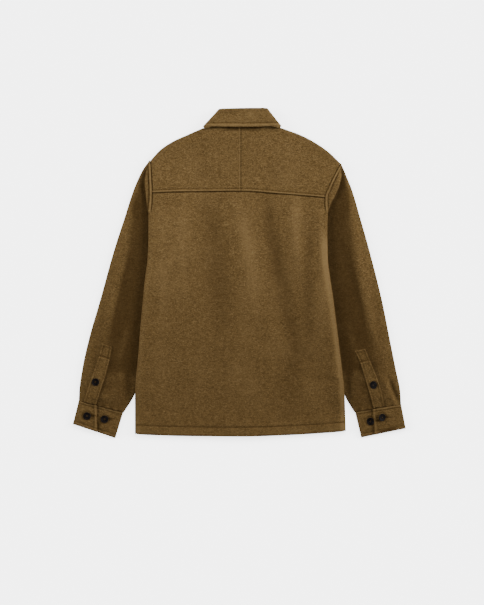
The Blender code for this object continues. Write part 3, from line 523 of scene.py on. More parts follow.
def swell(x, y, seed, broad=46.0):
    """Slow unevenness of cloth that lies by its own weight."""
    return np.array([noise.noise(Vector((a / broad, b / (broad * 1.3), seed))) for a, b in zip(x, y)])


def plan_of(spots):
    """Where points lie in plan, and on which side of the garment."""
    x, y = spots[:, 0], spots[:, 1]
    return x, y, -1 if x.mean() < 0 else 1


def listed(curve, values):
    """A curve read at many places, from a fine table of it."""
    places = np.linspace(values.min(), values.max(), 600)
    return np.interp(values, places, [curve(v) for v in places])


def beyond(curve, x, y):
    """Distance outwards from a line that each side has its own of."""
    left, right = [listed(lambda v: curve(side, v), y) for side in (-1, 1)]
    return np.abs(x) - np.where(x < 0, left, right)


def line_at(a, b, x):
    """Height of the straight line between two spots."""
    return np.interp(x, [a.x, b.x], [a.y, b.y])


def strip_edges(side, y):
    """Inner and outer edge of a sleeve placket at each height."""
    rows = PLACKETS[side]
    return (np.interp(y, [row.in_y for row in rows], [row.in_x for row in rows]),
            np.interp(y, [row.out_y for row in rows], [row.out_x for row in rows]))


def seam_drop(d):
    """Cloth rolls down into a seam."""
    return -1.2 * dip(d, 0, 1.5)


def back_relief(spots, way):
    x, y, _ = plan_of(spots)
    up = ease(way[:, 2])
    soft = folds(x, y, BACK_FOLDS) + 0.9 * swell(x, y, 3.1) + 0.35 * swell(x, y, 8.4, 17.0)
    soft += 1.5 * dip(beyond(body_edge, x, y), -13.0, 9.0) * ease((130 - y) / 30)
    hem = y - listed(hem_y, x)
    fine = -1.3 * dip(hem, HEM_TURN, 1.5) + 0.45 * plump(hem, 1.0, HEM_TURN - 1.5, 6.0)
    fine += 0.22 * plump(hem, HEM_TURN + 1.5, HEM_TURN + 12, 5.0)
    fine -= 1.9 * dip(np.maximum(0, listed(yoke_seam, x) - y), 0, 2.0)
    fine += seam_drop(beyond(armhole, x, y)) * ease((y - 138) / 20)
    return soft * up, fine * up


def yoke_relief(spots, way):
    x, y, _ = plan_of(spots)
    up = ease(way[:, 2])
    soft = (folds(x, y, YOKE_FOLDS) + 0.7 * swell(x, y, 3.1) + 0.3 * swell(x, y, 8.4, 17.0)) * up
    under_collar = ease((y - 330) / 14) * ease((110 - np.abs(x - NECK_X)) / 30)
    d = y - listed(yoke_seam, x)
    fine = 1.3 * plump(d, 0.6, 5.4, 1.6) - 1.0 * dip(d, 6.6, 1.6) - 1.4 * dip(d, 0, 1.3)
    fine += np.where(y < 300, seam_drop(beyond(armhole, x, y)), 0.0)
    fine += np.where(x < CENTRE_BACK, 0.8 * plump(CENTRE_BACK - x, 0.3, 4.4),
                     -1.2 * dip(x, CENTRE_BACK, 1.8))
    return soft - 0.6 * under_collar, fine * up


def body_shade(spots, way):
    """Painted shade in troughs and painted highlight on ridges, a painted shadow below the collar and a
    painted highlight along the side folds.
    """
    x, y, _ = plan_of(spots)
    back = y.mean() < 100
    rise = folds(x, y, BACK_FOLDS if back else YOKE_FOLDS) + 0.5 * swell(x, y, 3.1)
    dark = np.tanh(-rise / 3.0) * (0.8 if back else 0.5)
    # Painted shadow below the collar's edge.
    dark += 0.75 * ease((y - 333) / 13) * ease((66 - np.abs(x - NECK_X)) / 40)
    if back:
        # Painted highlight along the side folds, stronger on the right.
        rim = dip(beyond(body_edge, x, y), -6.0, 7.0) * ease((110 - y) / 60)
        dark -= np.where(x < 0, 0.3, 0.75) * rim
    return dark * ease(way[:, 2])


def sleeve_share(side, x, y):
    """How far out a place on the sleeve lies, and the sleeve's round crest there."""
    inner = np.where(y > ARM_FOOT, listed(lambda v: head_fold(side, v), y),
                     listed(lambda v: body_edge(side, v), y))
    outer = listed(lambda v: along(SLEEVE_OUT, "y", SIDE_NAMES[side], v), y)
    share = (np.abs(x) - inner) / np.maximum(outer - inner, 8)
    crest = ease((share - 0.06) / 0.62) * ease((1.0 - share) / 0.34)
    return share, crest * ease((236 - y) / 70) * ease((y + 322) / 26)


def sleeve_swell(side, x, y):
    """The sleeve's folds, crest and unevenness."""
    return (folds(x, y, SLEEVE_FOLDS[side]) + 0.8 * swell(x, y, 5.7 + side, 30.0)
            + SLEEVE_CREST * sleeve_share(side, x, y)[1] + 0.3 * swell(x, y, 1.4 + side, 12.0))


def sleeve_relief(spots, way):
    x, y, side = plan_of(spots)
    up = ease(way[:, 2] * 1.4)
    soft = sleeve_swell(side, x, y) * up * (1 - 0.8 * ease((spots[:, 2] - 9) / 5))
    d = beyond(armhole, x, y)
    fine = 1.7 * plump(d, 0.9, 6.2, 1.6) - 1.5 * dip(d, 7.4, 1.6) + 1.4 * seam_drop(d)
    above = y - line_at(CUFFS[side].in_top, CUFFS[side].out_top, np.abs(x))
    puckers = 0.5 * np.sin(np.abs(x) / 3.1) * ease((14 - above) / 14)
    puckers -= 0.7 * dip(np.maximum(0, above), 0, 1.4)
    return soft, (fine * ease((y - 134) / 24) + puckers * (y < -280)) * up


def sleeve_shade(spots, way):
    """Painted shade where the sleeve dives under the body and a painted shadow beside its placket; its fold
    troughs get painted shade and its ridges painted highlight.
    """
    x, y, side = plan_of(spots)
    share = sleeve_share(side, x, y)[0]
    deep = ease((1.04 - share) / 0.56) * (0.8 + 0.2 * dip(share, 0.22, 0.2)) * ease((258 - y) / 16)
    deep *= np.where(y > ARM_FOOT, ease((beyond(head_fold, x, y) + 1.0) / 3.4), 1.0)
    deep *= 1 - 0.5 * ease((-225 - y) / 30)
    inner, outer = strip_edges(side, y)
    # Painted shadow beside the placket, darker on its inner side.
    beside = 0.75 * dip(np.abs(x) - inner, -1.5, 4.2) + 0.4 * dip(np.abs(x) - outer, 1.0, 3.0)
    deep = np.maximum(deep, beside * ease((PLACKETS[side][-1].in_y - y) / 4))
    rise = folds(x, y, SLEEVE_FOLDS[side]) / 2.0
    return (deep * np.clip(1 - 0.35 * rise, 0.6, 1.25)
            + 0.28 * np.clip(-rise, -0.7, 1.5)) * ease((way[:, 2] - 0.2) / 0.4)


def cuff_relief(spots, way):
    x, y, side = plan_of(spots)
    c = CUFFS[side]
    up = ease(way[:, 2])       # only what faces up is shaped
    top, low = line_at(c.in_top, c.out_top, np.abs(x)), line_at(c.in_low, c.out_low, np.abs(x))
    fine = 1.0 * plump(top - y, 0.4, 5.4) - 0.8 * dip(top - y, 6.8, 1.3)
    fine += 0.5 * plump(y - low, 0.5, 7.0, 1.6) - 1.0 * dip(y - low, 8.6, 1.4)
    share = (top - y) / np.maximum(top - low, 1)
    lap = np.abs(x) - np.interp(share, [0, 1], [mix(c.out_top.x, c.in_top.x, c.lap_top),
                                                mix(c.out_low.x, c.in_low.x, c.lap_low)])
    fine += (1.5 * plump(lap, 0.2, 5.6, 2.0) - 0.55 * dip(lap, 7.4, 1.6)) * (spots[:, 2] > CUFF_MID + 1)
    fine -= 0.9 * ease(-lap / 1.5) * ease((6 + lap) / 5) * (spots[:, 2] > LOW + 1)
    soft = 0.8 * swell(x, y, 2.2 + side, 22.0) + 0.5 * swell(x, y, 7.2 + side, 9.0)
    for spec in SLEEVE_BUTTONS[side][:2]:
        r = np.hypot(x - side * spec.x, y - spec.y)
        soft += dip(r, 15, 6) - 0.9 * dip(r, 0, 10)
        away = (np.abs(x) - spec.x) * (1 if side * spec.x > 300 else -1)
        pull = dip(y, spec.y, 2.6) * ease((36 - r) / 22) * ease((away + 4) / 8)
        fine -= 1.5 * pull + 0.7 * dip(r, 10.5, 2.6)
    return soft * up, fine * up


def cuff_shade(spots, way):
    """Painted shadow of the opening under the right cuff's lap, along its lower edge."""
    x, y, _ = plan_of(spots)
    above = y - line_at(CUFFS[1].in_low, CUFFS[1].out_low, x)
    return 1.5 * dip(above, 4.6, 2.7) * ease((x - 332) / 9) * ease((382 - x) / 14) * ease(way[:, 2])


def placket_relief(spots, way):
    x, y, side = plan_of(spots)
    inner, outer = strip_edges(side, y)
    d_in, d_out = np.abs(x) - inner, outer - np.abs(x)
    fine = sum(0.5 * dip(d, 1.6, 1.6) - 0.8 * dip(d, 5.0, 1.3) for d in (d_in, d_out))
    top = PLACKETS[side][3]
    run_x, run_y = top.out_x - top.in_x, top.out_y - top.in_y
    above = ((y - top.in_y) * run_x - (np.abs(x) - top.in_x) * run_y) / math.hypot(run_x, run_y)
    fine += -1.9 * dip(above, 1.2, 1.7) + 0.8 * plump(-above, 0.2, 5.0) - 0.5 * ease(above / 4)
    fine += 0.5 * plump(above, 27, 33) - 0.7 * dip(above, 25, 1.3)
    button = SLEEVE_BUTTONS[side][2]
    r = np.hypot(x - side * button.x, y - button.y)
    fine += 0.7 * dip(r, 13, 5) - 0.5 * dip(r, 0, 8)
    lift = 1.4 * dip(d_in, 0, 5) * dip(y, -319, 20) if side < 0 else 0.0
    return sleeve_swell(side, x, y) + lift, fine


def leaf_relief(spots, way):
    x, y, _ = plan_of(spots)
    up = ease(way[:, 2])
    left, right = LEAF[-1].edge, LEAF[1].edge
    t = np.clip((x - left.x) / (right.x - left.x), 0, 1)
    d = y - line_at(left, right, x) + LEAF_SAG * np.sin(np.pi * t)
    fine = 0.8 * plump(d, 0.6, 7.6, 2.4) - 1.1 * dip(d, 9.0, 1.5)
    return 0.5 * swell(x, y, 4.4, 24.0) * (way[:, 2] > 0.2) * up, fine * up


def leaf_shade(spots, way):
    """Lighter away from the leaf's fold, painted shade in two soft dents that its shape doesn't have, and a
    painted highlight between them.
    """
    x, y, _ = plan_of(spots)
    dent_shade = 0.3 * dip(x, -14, 16) * dip(y, 386, 12) + 0.25 * dip(x, 52, 12) * dip(y, 378, 10)
    leaf_highlight = 0.35 * dip(x, 26, 13) * dip(y, 380, 9)
    return (0.16 * ease((y - 366) / 28) - 0.17 + dent_shade - leaf_highlight) * ease(way[:, 2])


def plain_relief(spots, way):
    """Hidden sides: the same uneven cloth, never out past the surface it lies on."""
    x, y, _ = plan_of(spots)
    dent = -0.25 * (1 + swell(x, y, 9.9, 24.0))
    return np.zeros_like(x), np.where(way[:, 2] < -0.5, dent * (spots[:, 2] < 2.0), 0.2 * dent)


def lay(x, y, z, up=1, back=CLOTH / 2):
    """A point of a level cloth that faces up or down."""
    return (x, y, z), (0, 0, up), CLOTH / 2, back


def on_top(x, y, back=CLOTH / 2):
    return lay(x, y, over(x, y), 1, back)


def beneath(x, y, back=CLOTH / 2):
    return lay(x, y, under(x, y), -1, back)


def on_bend(x, y, facing, low, high, turn, back=CLOTH / 2):
    """A point on the half round of a fold; turn runs from 1 on top to -1 beneath."""
    angle = turn * math.pi / 2
    r = (high - low) / 2
    way = (facing[0] * math.cos(angle), facing[1] * math.cos(angle), math.sin(angle))
    return (x, y, low + r + r * math.sin(angle)), way, CLOTH / 2, back


def set_back(turn):
    """How far a point of a half round lies behind its foremost one."""
    return 1 - math.cos(turn * math.pi / 2)


def bend(edge, inward, low, high, turn, reach=None, back=CLOTH / 2):
    """A point on a fold whose foremost line is the edge."""
    d = (reach or (high - low) / 2) * set_back(turn)
    return on_bend(edge[0] + inward[0] * d, edge[1] + inward[1] * d, (-inward[0], -inward[1]),
                   low, high, turn, back)


BENDS = (1, 0.5, 0, -0.5, -1)
BODY_ROWS = [-386, -378, -371.6, -368.6, -345, -320, -292, -262, -228, -190, -150, -105,
             -60, -17, 25, 60, 92, 117, 142]
FRONT_ROWS = [-388, -380, -370.6, -345, -318, -292, -262, -228, -190, -150, -105, -60, -17, 25, 60, 92]
BAND_ROWS = [-388, -345, -292, -228, -150, -60, 25, 92, 150, 205, 250, FRONT_NECK]


def ply(y, x):
    """How thick the inside is: the hem is turned up."""
    return CLOTH / 2 + (HEM_PLY if y < hem_y(x) + HEM_TURN + 0.5 else 0)


def back_panel(material):
    wall = Wall(back_relief, body_shade)
    down = steps(BODY_ROWS)
    down[3] = 20           # fine about the hem's stitch line
    foot = -BODY_ROWS[0]
    spread = [-1, -0.9, -0.78, -0.64, -0.48, -0.35, -0.2, -0.05,
              0.1, 0.25, 0.38, 0.5, 0.66, 0.8, 0.91, 1]

    def inset(side, y):
        return armhole(side, y) - SEAM if y > ARM_FOOT else body_edge(side, y) - SIDE_INSET

    def places(left_y, right_y):
        return [mix(-inset(-1, left_y), inset(1, right_y), (s + 1) / 2) for s in spread]

    def hemmed(x, y, layer):
        y = follow_hem(x, y, foot)
        return layer(x, y, ply(y, x))

    grid = [[hemmed(x, y, on_top) for x in places(y, y)] for y in BODY_ROWS]
    for share in (0.33, 0.66, 1):
        ends = [mix(ARM_FOOT, yoke_seam(side * YOKE_END), share) for side in (-1, 1)]
        grid.append([on_top(x, mix(ARM_FOOT, yoke_seam(x) - SEAM, share)) for x in places(*ends)])
    across = steps([220 * s for s in spread])
    across[0] = across[-1] = 16
    wall.patch(grid, down + [5, 5, 14], across)

    for side in (-1, 1):
        grid = []
        for y in BODY_ROWS + [145]:
            edge = body_edge(side, y)
            x, near = side * (edge - SIDE_INSET), side * (edge - 3)
            line = [hemmed(x, y, on_top)]
            yb = follow_hem(near, y, foot)
            low, high = under(near, yb), over(near, yb)
            inner = ply(yb, x) if y < -345 else CLOTH / 2
            line += [bend((side * edge, yb), (-side, 0), low, high, turn, back=inner) for turn in BENDS]
            end = side_seam(y) + SEAM if y <= UNDER_FOOT else mix(150, 204, (y - UNDER_FOOT) / 50)
            start = edge - (high - low) / 2
            line += [hemmed(side * mix(start, end, share), y, beneath) for share in (0.2, 0.45, 0.72, 1)]
            grid.append(line)
        wall.patch(grid, down + [1], [1, 2, 2, 2, 2, 4, 4, 4, 4])
    return wall.make("back_panel", material)


def shoulder_point(side, share):
    """A point on the shoulder line, by its share of the way out."""
    spots = SHOULDER[side]
    x = mix(spots[0].x, spots[-1].x, share)
    return x, along(spots, "x", "y", x)


def neck_edge(x, gap):
    """The back neck seam, which the collar hides."""
    left, right = SHOULDER[-1][0], SHOULDER[1][0]
    t = (x - left.x) / (right.x - left.x)
    return mix(left.y, right.y, t) + 1.2 * math.sin(math.pi * t) + gap


def front_neck(side, t):
    """The neck seam on the front, from the shoulder (0) to its end near the band (1)."""
    spot = between(SHOULDER[side][0], FRONT_NECK_END[side], t)
    bow = 9.0 * math.sin(math.pi * t) * 0.6
    return spot.x + side * bow, spot.y - bow


def yoke_foot(side, tx):
    """The place on the yoke seam that belongs to a place on the shoulder or neck."""
    centre = CENTRE_BACK + side * SEAM
    end = side * (armhole(side, yoke_seam(side * YOKE_END)) - SEAM)
    x = mix(centre, end, abs(tx - centre) / abs(SHOULDER[side][-1].x - centre))
    return x, yoke_seam(x) + SEAM


def yoke_way(side, share):
    """The direction from the shoulder line into the yoke."""
    tx, ty = shoulder_point(side, share)
    x, y = (side * armhole(side, 240), 240) if share == 1 else yoke_foot(side, tx)
    size = math.hypot(x - tx, y - ty)
    return (x - tx) / size, (y - ty) / size


def yoke_front_edge(side, share, d):
    """A place on the yoke's front part, d down from the shoulder line."""
    if share == 0:
        x, y = front_neck(side, d / NECK_REACH)
        return x + side * SEAM, y - SEAM
    tx, ty = shoulder_point(side, share)
    if share == 1:
        y = ty - 0.97 * d
        return side * (front_armhole(side, y) - SEAM), y
    way = yoke_way(side, share)
    return tx + way[0] * d, ty + way[1] * d


def yoke(side, material):
    wall = Wall(yoke_relief, body_shade)
    shares = [0, 0.18, 0.4, 0.62, 0.82, 0.93, 1]
    neck_cols = [0, 0.33, 0.66]
    columns, wraps = [], []
    for t in neck_cols:
        tx = mix(CENTRE_BACK + side * SEAM, SHOULDER[side][0].x, t)
        foot, head = Spot(*yoke_foot(side, tx)), Spot(tx, neck_edge(tx, -SEAM))
        columns.append([on_top(*between(foot, head, share)) for share in shares])
    for col in SHOULDER_COLS:
        tx, ty = shoulder_point(side, col)
        way = yoke_way(side, col)
        near = tx + way[0] * 3, ty + way[1] * 3
        low, high = under(*near), over(*near)
        r = (high - low) / 2
        foot, head = Spot(*yoke_foot(side, tx)), Spot(tx + way[0] * (r + 1.6), ty + way[1] * (r + 1.6))
        line = []
        for share in shares:
            x, y = between(foot, head, share)
            line.append(on_top(side * (armhole(side, y) - SEAM) if col == 1 else x, y))
        columns.append(line)
        wrap = [line[-1]] + [bend((tx, ty), way, low, high, turn) for turn in BENDS]
        wraps.append(wrap + [beneath(*yoke_front_edge(side, col, mix(r, FRONT_YOKE - SEAM, share)))
                             for share in (0.25, 0.6, 1)])
    apart = [22, 8, 8, 6, 8, 9, 9, 18]
    wall.patch(columns, apart, [20, 9, 9, 8, 5, 4])
    wall.patch(wraps, apart[len(neck_cols):], [1, 2, 2, 2, 2, 3, 4, 4])
    return wall.make("yoke_" + SIDE_NAMES[side], material)


def front_height(side, x, y):
    """The fronts lie low; near the middle one rises over the buttons, the other over the band."""
    if side < 0:
        rise = BAND_RAISE * smooth((x + 46) / 30)
    else:
        rise = (BAND_RAISE + STEP_OUT) * (1 - smooth((x - 30) / 34))
    return max(under(x, y), LOW + rise)


def front(side, material):
    """One front: the hem, the side seam and armhole, the front yoke seam and the neck."""
    wall = Wall(plain_relief)
    inner_x = BAND_IN - SEAM if side < 0 else OTHER_FRONT
    spread = [0, 0.1, 0.22, 0.36, 0.5, 0.6, 0.68, 0.77, 0.88, 1]

    def spot(x, y):
        return lay(x, y, front_height(side, x, y), -1)

    def places(y):
        return [mix(side * (side_seam(y) - SEAM), inner_x, s) for s in spread]

    grid = [[spot(x, follow_hem(x, y, -FRONT_ROWS[0])) for x in places(y)] for y in FRONT_ROWS]
    top_line = [yoke_front_edge(side, t, FRONT_YOKE + SEAM) for t in reversed(SHOULDER_COLS)]
    for t in [0.6, 0.8, 0.9, 1] if side < 0 else [0.6, 0.8, 1]:
        x, y = front_neck(side, t)
        top_line.append((x + side * SEAM, y - 2 * SEAM))
    if side > 0:
        top_line.append((inner_x, FRONT_NECK))
    steps_up = [0.14, 0.3, 0.48, 0.66, 0.83, 1]
    for step in steps_up:
        line = [(mix(x, top[0], step), mix(UNDER_FOOT, top[1], step))
                for x, top in zip(places(UNDER_FOOT), top_line)]
        line[0] = (side * (front_armhole(side, line[0][1]) - 3 * SEAM), line[0][1])
        grid.append([spot(*place) for place in line])
    wall.patch(grid, steps(FRONT_ROWS, 8) + [3] * len(steps_up), [4] * (len(spread) - 1))
    return wall.make("front_" + SIDE_NAMES[side], material)


def front_band(material):
    wall = Wall(plain_relief)
    grid = []
    for y in BAND_ROWS:
        line = []
        for x in (BAND_IN + SEAM, mix(BAND_IN, BAND_OUT, 0.5), BAND_OUT):
            yy = mix(y, hem_y(x), smooth((-250 - y) / 138))
            line.append(lay(x, yy, max(under(x, yy), LOW + BAND_RAISE), -1))
        grid.append(line)
    wall.patch(grid, steps(BAND_ROWS, 8), [4, 4])
    return wall.make("front_band", material)


def sleeve_top(side, x, y):
    """Middle of the sleeve's upper cloth: a valley at the body, a soft swell outside it."""
    edge = head_fold(side, y) if y > ARM_FOOT else body_edge(side, y)
    away = smooth((abs(x) - edge - 4) / 46)
    near = 0.3 + 0.7 * smooth((sleeve_out(side, y) - abs(x)) / 26)
    return LOW + STEP_OUT + SLEEVE_SWELL * away * near


def sleeve_low(side, x, y):
    rise = along(LIFTS, "y", "rise", y) * smooth((y - 136) / 29)
    return LOW + rise * (1 - smooth((abs(x) - front_armhole(side, y)) / 15))


def meet(start, slope, curve):
    """Where a row that falls inward meets an edge."""
    x = start[0] - 60
    for _ in range(12):
        x = curve(start[1] - slope * (start[0] - x))
    return x, start[1] - slope * (start[0] - x)


Row = namedtuple("Row", "x y slope end under_end head")


def sleeve_rows(side):
    """Rows round the sleeve: where each starts on the outer edge, how it falls, where it ends."""
    first, tip = CROSSING[side], APEX[side]
    cuff_x, cuff_y = CUFFS[side].out_top
    last = cuff_y - 0.9
    rows = []
    for out, seam in SLEEVE_HEAD:
        y, seam_y = mix(first, tip.out, (out - 155) / 111.4), mix(142.4, tip.seam, (seam - 142) / 120.6)
        x, seam_x = sleeve_out(side, y), armhole(side, seam_y) + SEAM
        slope = (y - seam_y) / max(0.5, x - seam_x)
        rows.append(Row(x, y, slope, (seam_x, seam_y), (front_armhole(side, seam_y) + SEAM, seam_y), True))
    for y in [first] + SLEEVE_ROWS + [last]:
        x = cuff_x if y == last else sleeve_out(side, y)
        slope = mix(HEAD_SLOPE, CUFF_SLOPE[side], smooth((first - y) / (first - last)))
        end = under_end = meet((x, y), slope, lambda v: line_of(SLEEVE_IN, side, v))
        if end[1] > UNDER_FOOT + 0.5:
            under_end = meet((x, y), slope, lambda v: front_armhole(side, v) + SEAM)
        rows.append(Row(x, y, slope, end, under_end, False))
    return rows


def sleeve(side, material):
    wall = Wall(sleeve_relief, sleeve_shade)
    rows = sleeve_rows(side)
    heads = len(SLEEVE_HEAD)
    top, head_part, hidden, fold, low, inner_fold = [], [], [], [], [], []
    for number, row in enumerate(rows):
        size = math.hypot(1, row.slope)
        way = (-1 / size, -row.slope / size)
        near = smooth((row.y - 236) / 30)      # the head's top goes up to the body's cloth
        end_x = row.end[0]
        folded = row.end[1] <= UNDER_FOOT + 0.5

        def plan(x):
            return side * x, row.y - row.slope * (row.x - x)

        def top_spot(x):
            px, py = plan(x)
            return lay(px, py, mix(sleeve_top(side, px, py), over(px, py), near))

        high = mix(sleeve_top(side, row.x - 3, row.y), over(side * (row.x - 4), row.y), near)
        bite = min((high - LOW) / 2, (row.x - end_x) * 0.55)
        fold.append([bend((side * row.x, row.y), (side * way[0], way[1]), LOW, high, turn, bite)
                     for turn in BENDS])
        inside = row.x + way[0] * bite
        edge_y = plan(end_x + 8 if row.head else body_edge(side, row.y - 30))[1]
        edge = head_fold(side, edge_y) if number <= heads else body_edge(side, edge_y)
        if row.head:
            foot = min(edge + 3.2, mix(end_x, inside, 0.72))
            edge = min(edge, mix(end_x, inside, 0.55))
        else:
            foot = max(edge + 3.2, end_x + 10)
        line = [fold[-1][0]]
        line += [top_spot(mix(inside, foot, share)) for share in (0.12, 0.28, 0.46, 0.64, 0.82, 1)]
        top.append(line)
        last_z = line[-1][0][2]
        if number <= heads:
            seam_end = end_x if row.head else armhole(side, ARM_FOOT) + SEAM
            strip = [line[-1]]
            for share, height, tilt in ((0.45, 0.5, 1.0), (1, 1, 0.4)):
                px, py = plan(mix(foot, edge, share))
                top_z = over(px, py) - 0.5
                drop = max(0.0, top_z - last_z) / (foot - edge + 2.0) * tilt
                spot = (px, py, mix(last_z, top_z, height))
                strip.append((spot, (side * drop, 0, 1), CLOTH / 2, CLOTH / 2))
            strip += [on_top(*plan(mix(edge, seam_end, share))) for share in (0.5, 1)]
            head_part.append(strip)
        if not row.head:
            stop = end_x + (1.5 if folded else 0)
            hidden.append([line[-1]] + [top_spot(mix(foot, stop, share)) for share in (0.25, 0.5, 0.75, 1)])
        if folded:
            high = hidden[-1][-1][0][2]
            half = (high - LOW) / 2
            inner_fold.append([on_bend(*plan(stop - half * (1 - set_back(turn))), (-side, 0), LOW, high, turn)
                               for turn in BENDS])
        under_x, under_y = row.under_end
        stop = under_x + (1.5 if folded else 0)
        inner_slope = (under_y - row.y) / (under_x - row.x) if abs(under_x - row.x) > 1 else 0
        line = [fold[-1][-1]]
        for share in (0.2, 0.42, 0.62, 0.8, 0.92, 1):
            x = mix(inside, stop, share)
            y = row.y + inner_slope * (x - row.x)
            line.append(lay(side * x, y, sleeve_low(side, x, y), -1))
        low.append(line)
    down = steps([row.y for row in rows], 3.2)
    for grid, parts, across in ((top, down, [5, 6, 7, 7, 7, 7]), (fold, down, [2] * 4),
                                (low, down, [4, 4, 4, 4, 3, 2]), (head_part, down[:heads], [2, 2, 6, 6]),
                                (hidden, down[heads:], [3] * 4),
                                (inner_fold, down[1 - len(inner_fold):], [1] * 4)):
        wall.patch(grid, parts, across)
    return wall.make("sleeve_" + SIDE_NAMES[side], material)


def cuff_plan(side, w, v):
    """A place on the cuff: w from its outer edge to its inner edge, v down it."""
    c = CUFFS[side]
    spot = between(between(c.out_top, c.in_top, w), between(c.out_low, c.in_low, w), v)
    return side * spot.x, spot.y


def cuff(side, material):
    wall = Wall(cuff_relief, cuff_shade)
    grid = []
    for v in (0.004, 0.25, 0.5, 0.75, 1):
        lap = mix(CUFFS[side].lap_top, CUFFS[side].lap_low, v)
        line = [lay(*cuff_plan(side, mix(lap - 0.27, lap, share), v), CUFF_MID) for share in (0, 0.5, 1)]
        line += [lay(*cuff_plan(side, mix(lap, 0.985, share), v), CUFF_MID) for share in (0.3, 0.6, 0.85)]
        line += [on_bend(*cuff_plan(side, 1 - 0.015 * set_back(turn), v), (-side, 0), LOW, CUFF_MID, turn)
                 for turn in BENDS]
        line += [lay(*cuff_plan(side, w, v), LOW, -1) for w in (0.85, 0.65, 0.45, 0.25, 0.1)]
        line += [on_bend(*cuff_plan(side, 0.03 * set_back(turn), v), (side, 0), LOW, CUFF_LAP, turn)
                 for turn in reversed(BENDS)]
        line += [lay(*cuff_plan(side, mix(0.03, lap, share), v), CUFF_LAP) for share in (0.3, 0.65, 1)]
        grid.append(line)
    wall.patch(grid, [12] * 4, [4, 4, 8, 8, 7, 3, 1, 1, 1, 1, 3, 3, 3, 3, 3, 2, 2, 2, 2, 2, 8, 9, 9])
    return wall.make("cuff_" + SIDE_NAMES[side], material)


def placket(side, material):
    wall = Wall(placket_relief)
    rows = []
    for a, b in zip(PLACKETS[side], PLACKETS[side][1:]):
        parts = 3 if abs(a.out_y - b.out_y) > 8 else 1
        rows += [Strip(*[mix(p, q, k / parts) for p, q in zip(a, b)]) for k in range(parts)]
    rows.append(PLACKETS[side][-1])
    grid = []
    for row in rows:
        line = []
        for share in (0, 0.5, 1):
            x, y = mix(row.out_x, row.in_x, share), mix(row.out_y, row.in_y, share)
            z = sleeve_top(side, x, y) + CLOTH / 2 + LAY + 1.2
            line.append(((side * x, y, z), (0, 0, 1), 1.2 + BOX_DROP * row.step, 1.0))
        grid.append(line)
    wall.patch(grid, steps([row.out_y for row in rows], 1.8, 2), [9, 9])
    return wall.make("sleeve_placket_" + SIDE_NAMES[side], material)


def leaf_edge(t):
    """Lower edge of the leaf on the back."""
    spot = between(LEAF[-1].edge, LEAF[1].edge, t)
    return Spot(spot.x, spot.y - LEAF_SAG * math.sin(math.pi * t))


def rolled(line):
    """The collar's fold: from the stand's edge round to the start of a line on the leaf."""
    (start, way, out, back), (after, _, _, _) = line[0], line[1]
    size = math.dist(start, after)
    ahead = [(a - b) / size for a, b in zip(start, after)]
    way = [c / math.hypot(*way) for c in way]
    spots = [(tuple(p - 2 * ROLL * w - ROLL_RUN * n for p, w, n in zip(start, way, ahead)),
              tuple(-w for w in way), out, back)]
    for turn in ROLL_TURNS:
        c, s = math.cos(math.radians(turn)), math.sin(math.radians(turn))
        spots.append((tuple(p + ROLL * (w * (c - 1) + n * s) for p, w, n in zip(start, way, ahead)),
                      tuple(w * c + n * s for w, n in zip(way, ahead)), out, back))
    return spots + line


def round_neck(front_line, side_line, back_line, fronts, turns, backs):
    """Lines of a collar piece from its left end, over the back, to its right end."""
    return ([front_line(-1, t) for t in fronts] + [side_line(-1, turn) for turn in turns]
            + [back_line(t) for t in backs]
            + [side_line(1, turn) for turn in reversed(turns)] + [front_line(1, t) for t in reversed(fronts)])


def collar_leaf(material):
    """The leaf: over the back, round both sides and under the fronts to its points."""
    wall = Wall(leaf_relief, leaf_shade)
    reach = (0.064, 0.26, 0.52, 0.8, 1)

    def front_line(side, t):
        leaf = LEAF[side]
        fold, edge = between(leaf.fold, leaf.meet, t), between(leaf.edge, leaf.point, t)
        return [lay(*between(fold, edge, s), LOW, -1) for s in reach]

    def side_line(side, turn):
        inward = LEAF_TURN * set_back(turn)
        spots = [(between(LEAF[side].fold, LEAF[side].edge, s), s) for s in reach]
        return [on_bend(p.x - side * inward * 0.8, p.y - inward * 0.6 * s,
                        (side * COLLAR_FACING[0], COLLAR_FACING[1]), LOW, LEAF_HIGH + LEAF_LIFT * s, turn)
                for p, s in spots]

    def back_line(t):
        fold = between(LEAF[-1].fold, LEAF[1].fold, t)
        return [lay(*between(fold, leaf_edge(t), s), LEAF_HIGH + LEAF_LIFT * s) for s in reach]

    grid = round_neck(front_line, side_line, back_line, (1, 0.72, 0.42, 0.12),
                      (-1, -0.66, -0.33, 0, 0.33, 0.66, 1), (0.12, 0.25, 0.38, 0.5, 0.62, 0.75, 0.88))
    down = [6, 6, 6, 3] + [2] * 6 + [5] + [7] * 6 + [5] + [2] * 6 + [3, 6, 6, 6]
    wall.patch([rolled(line) for line in grid], down, [2] + [1] * 6 + [6, 8, 10, 9])
    return wall.make("collar_leaf", material)


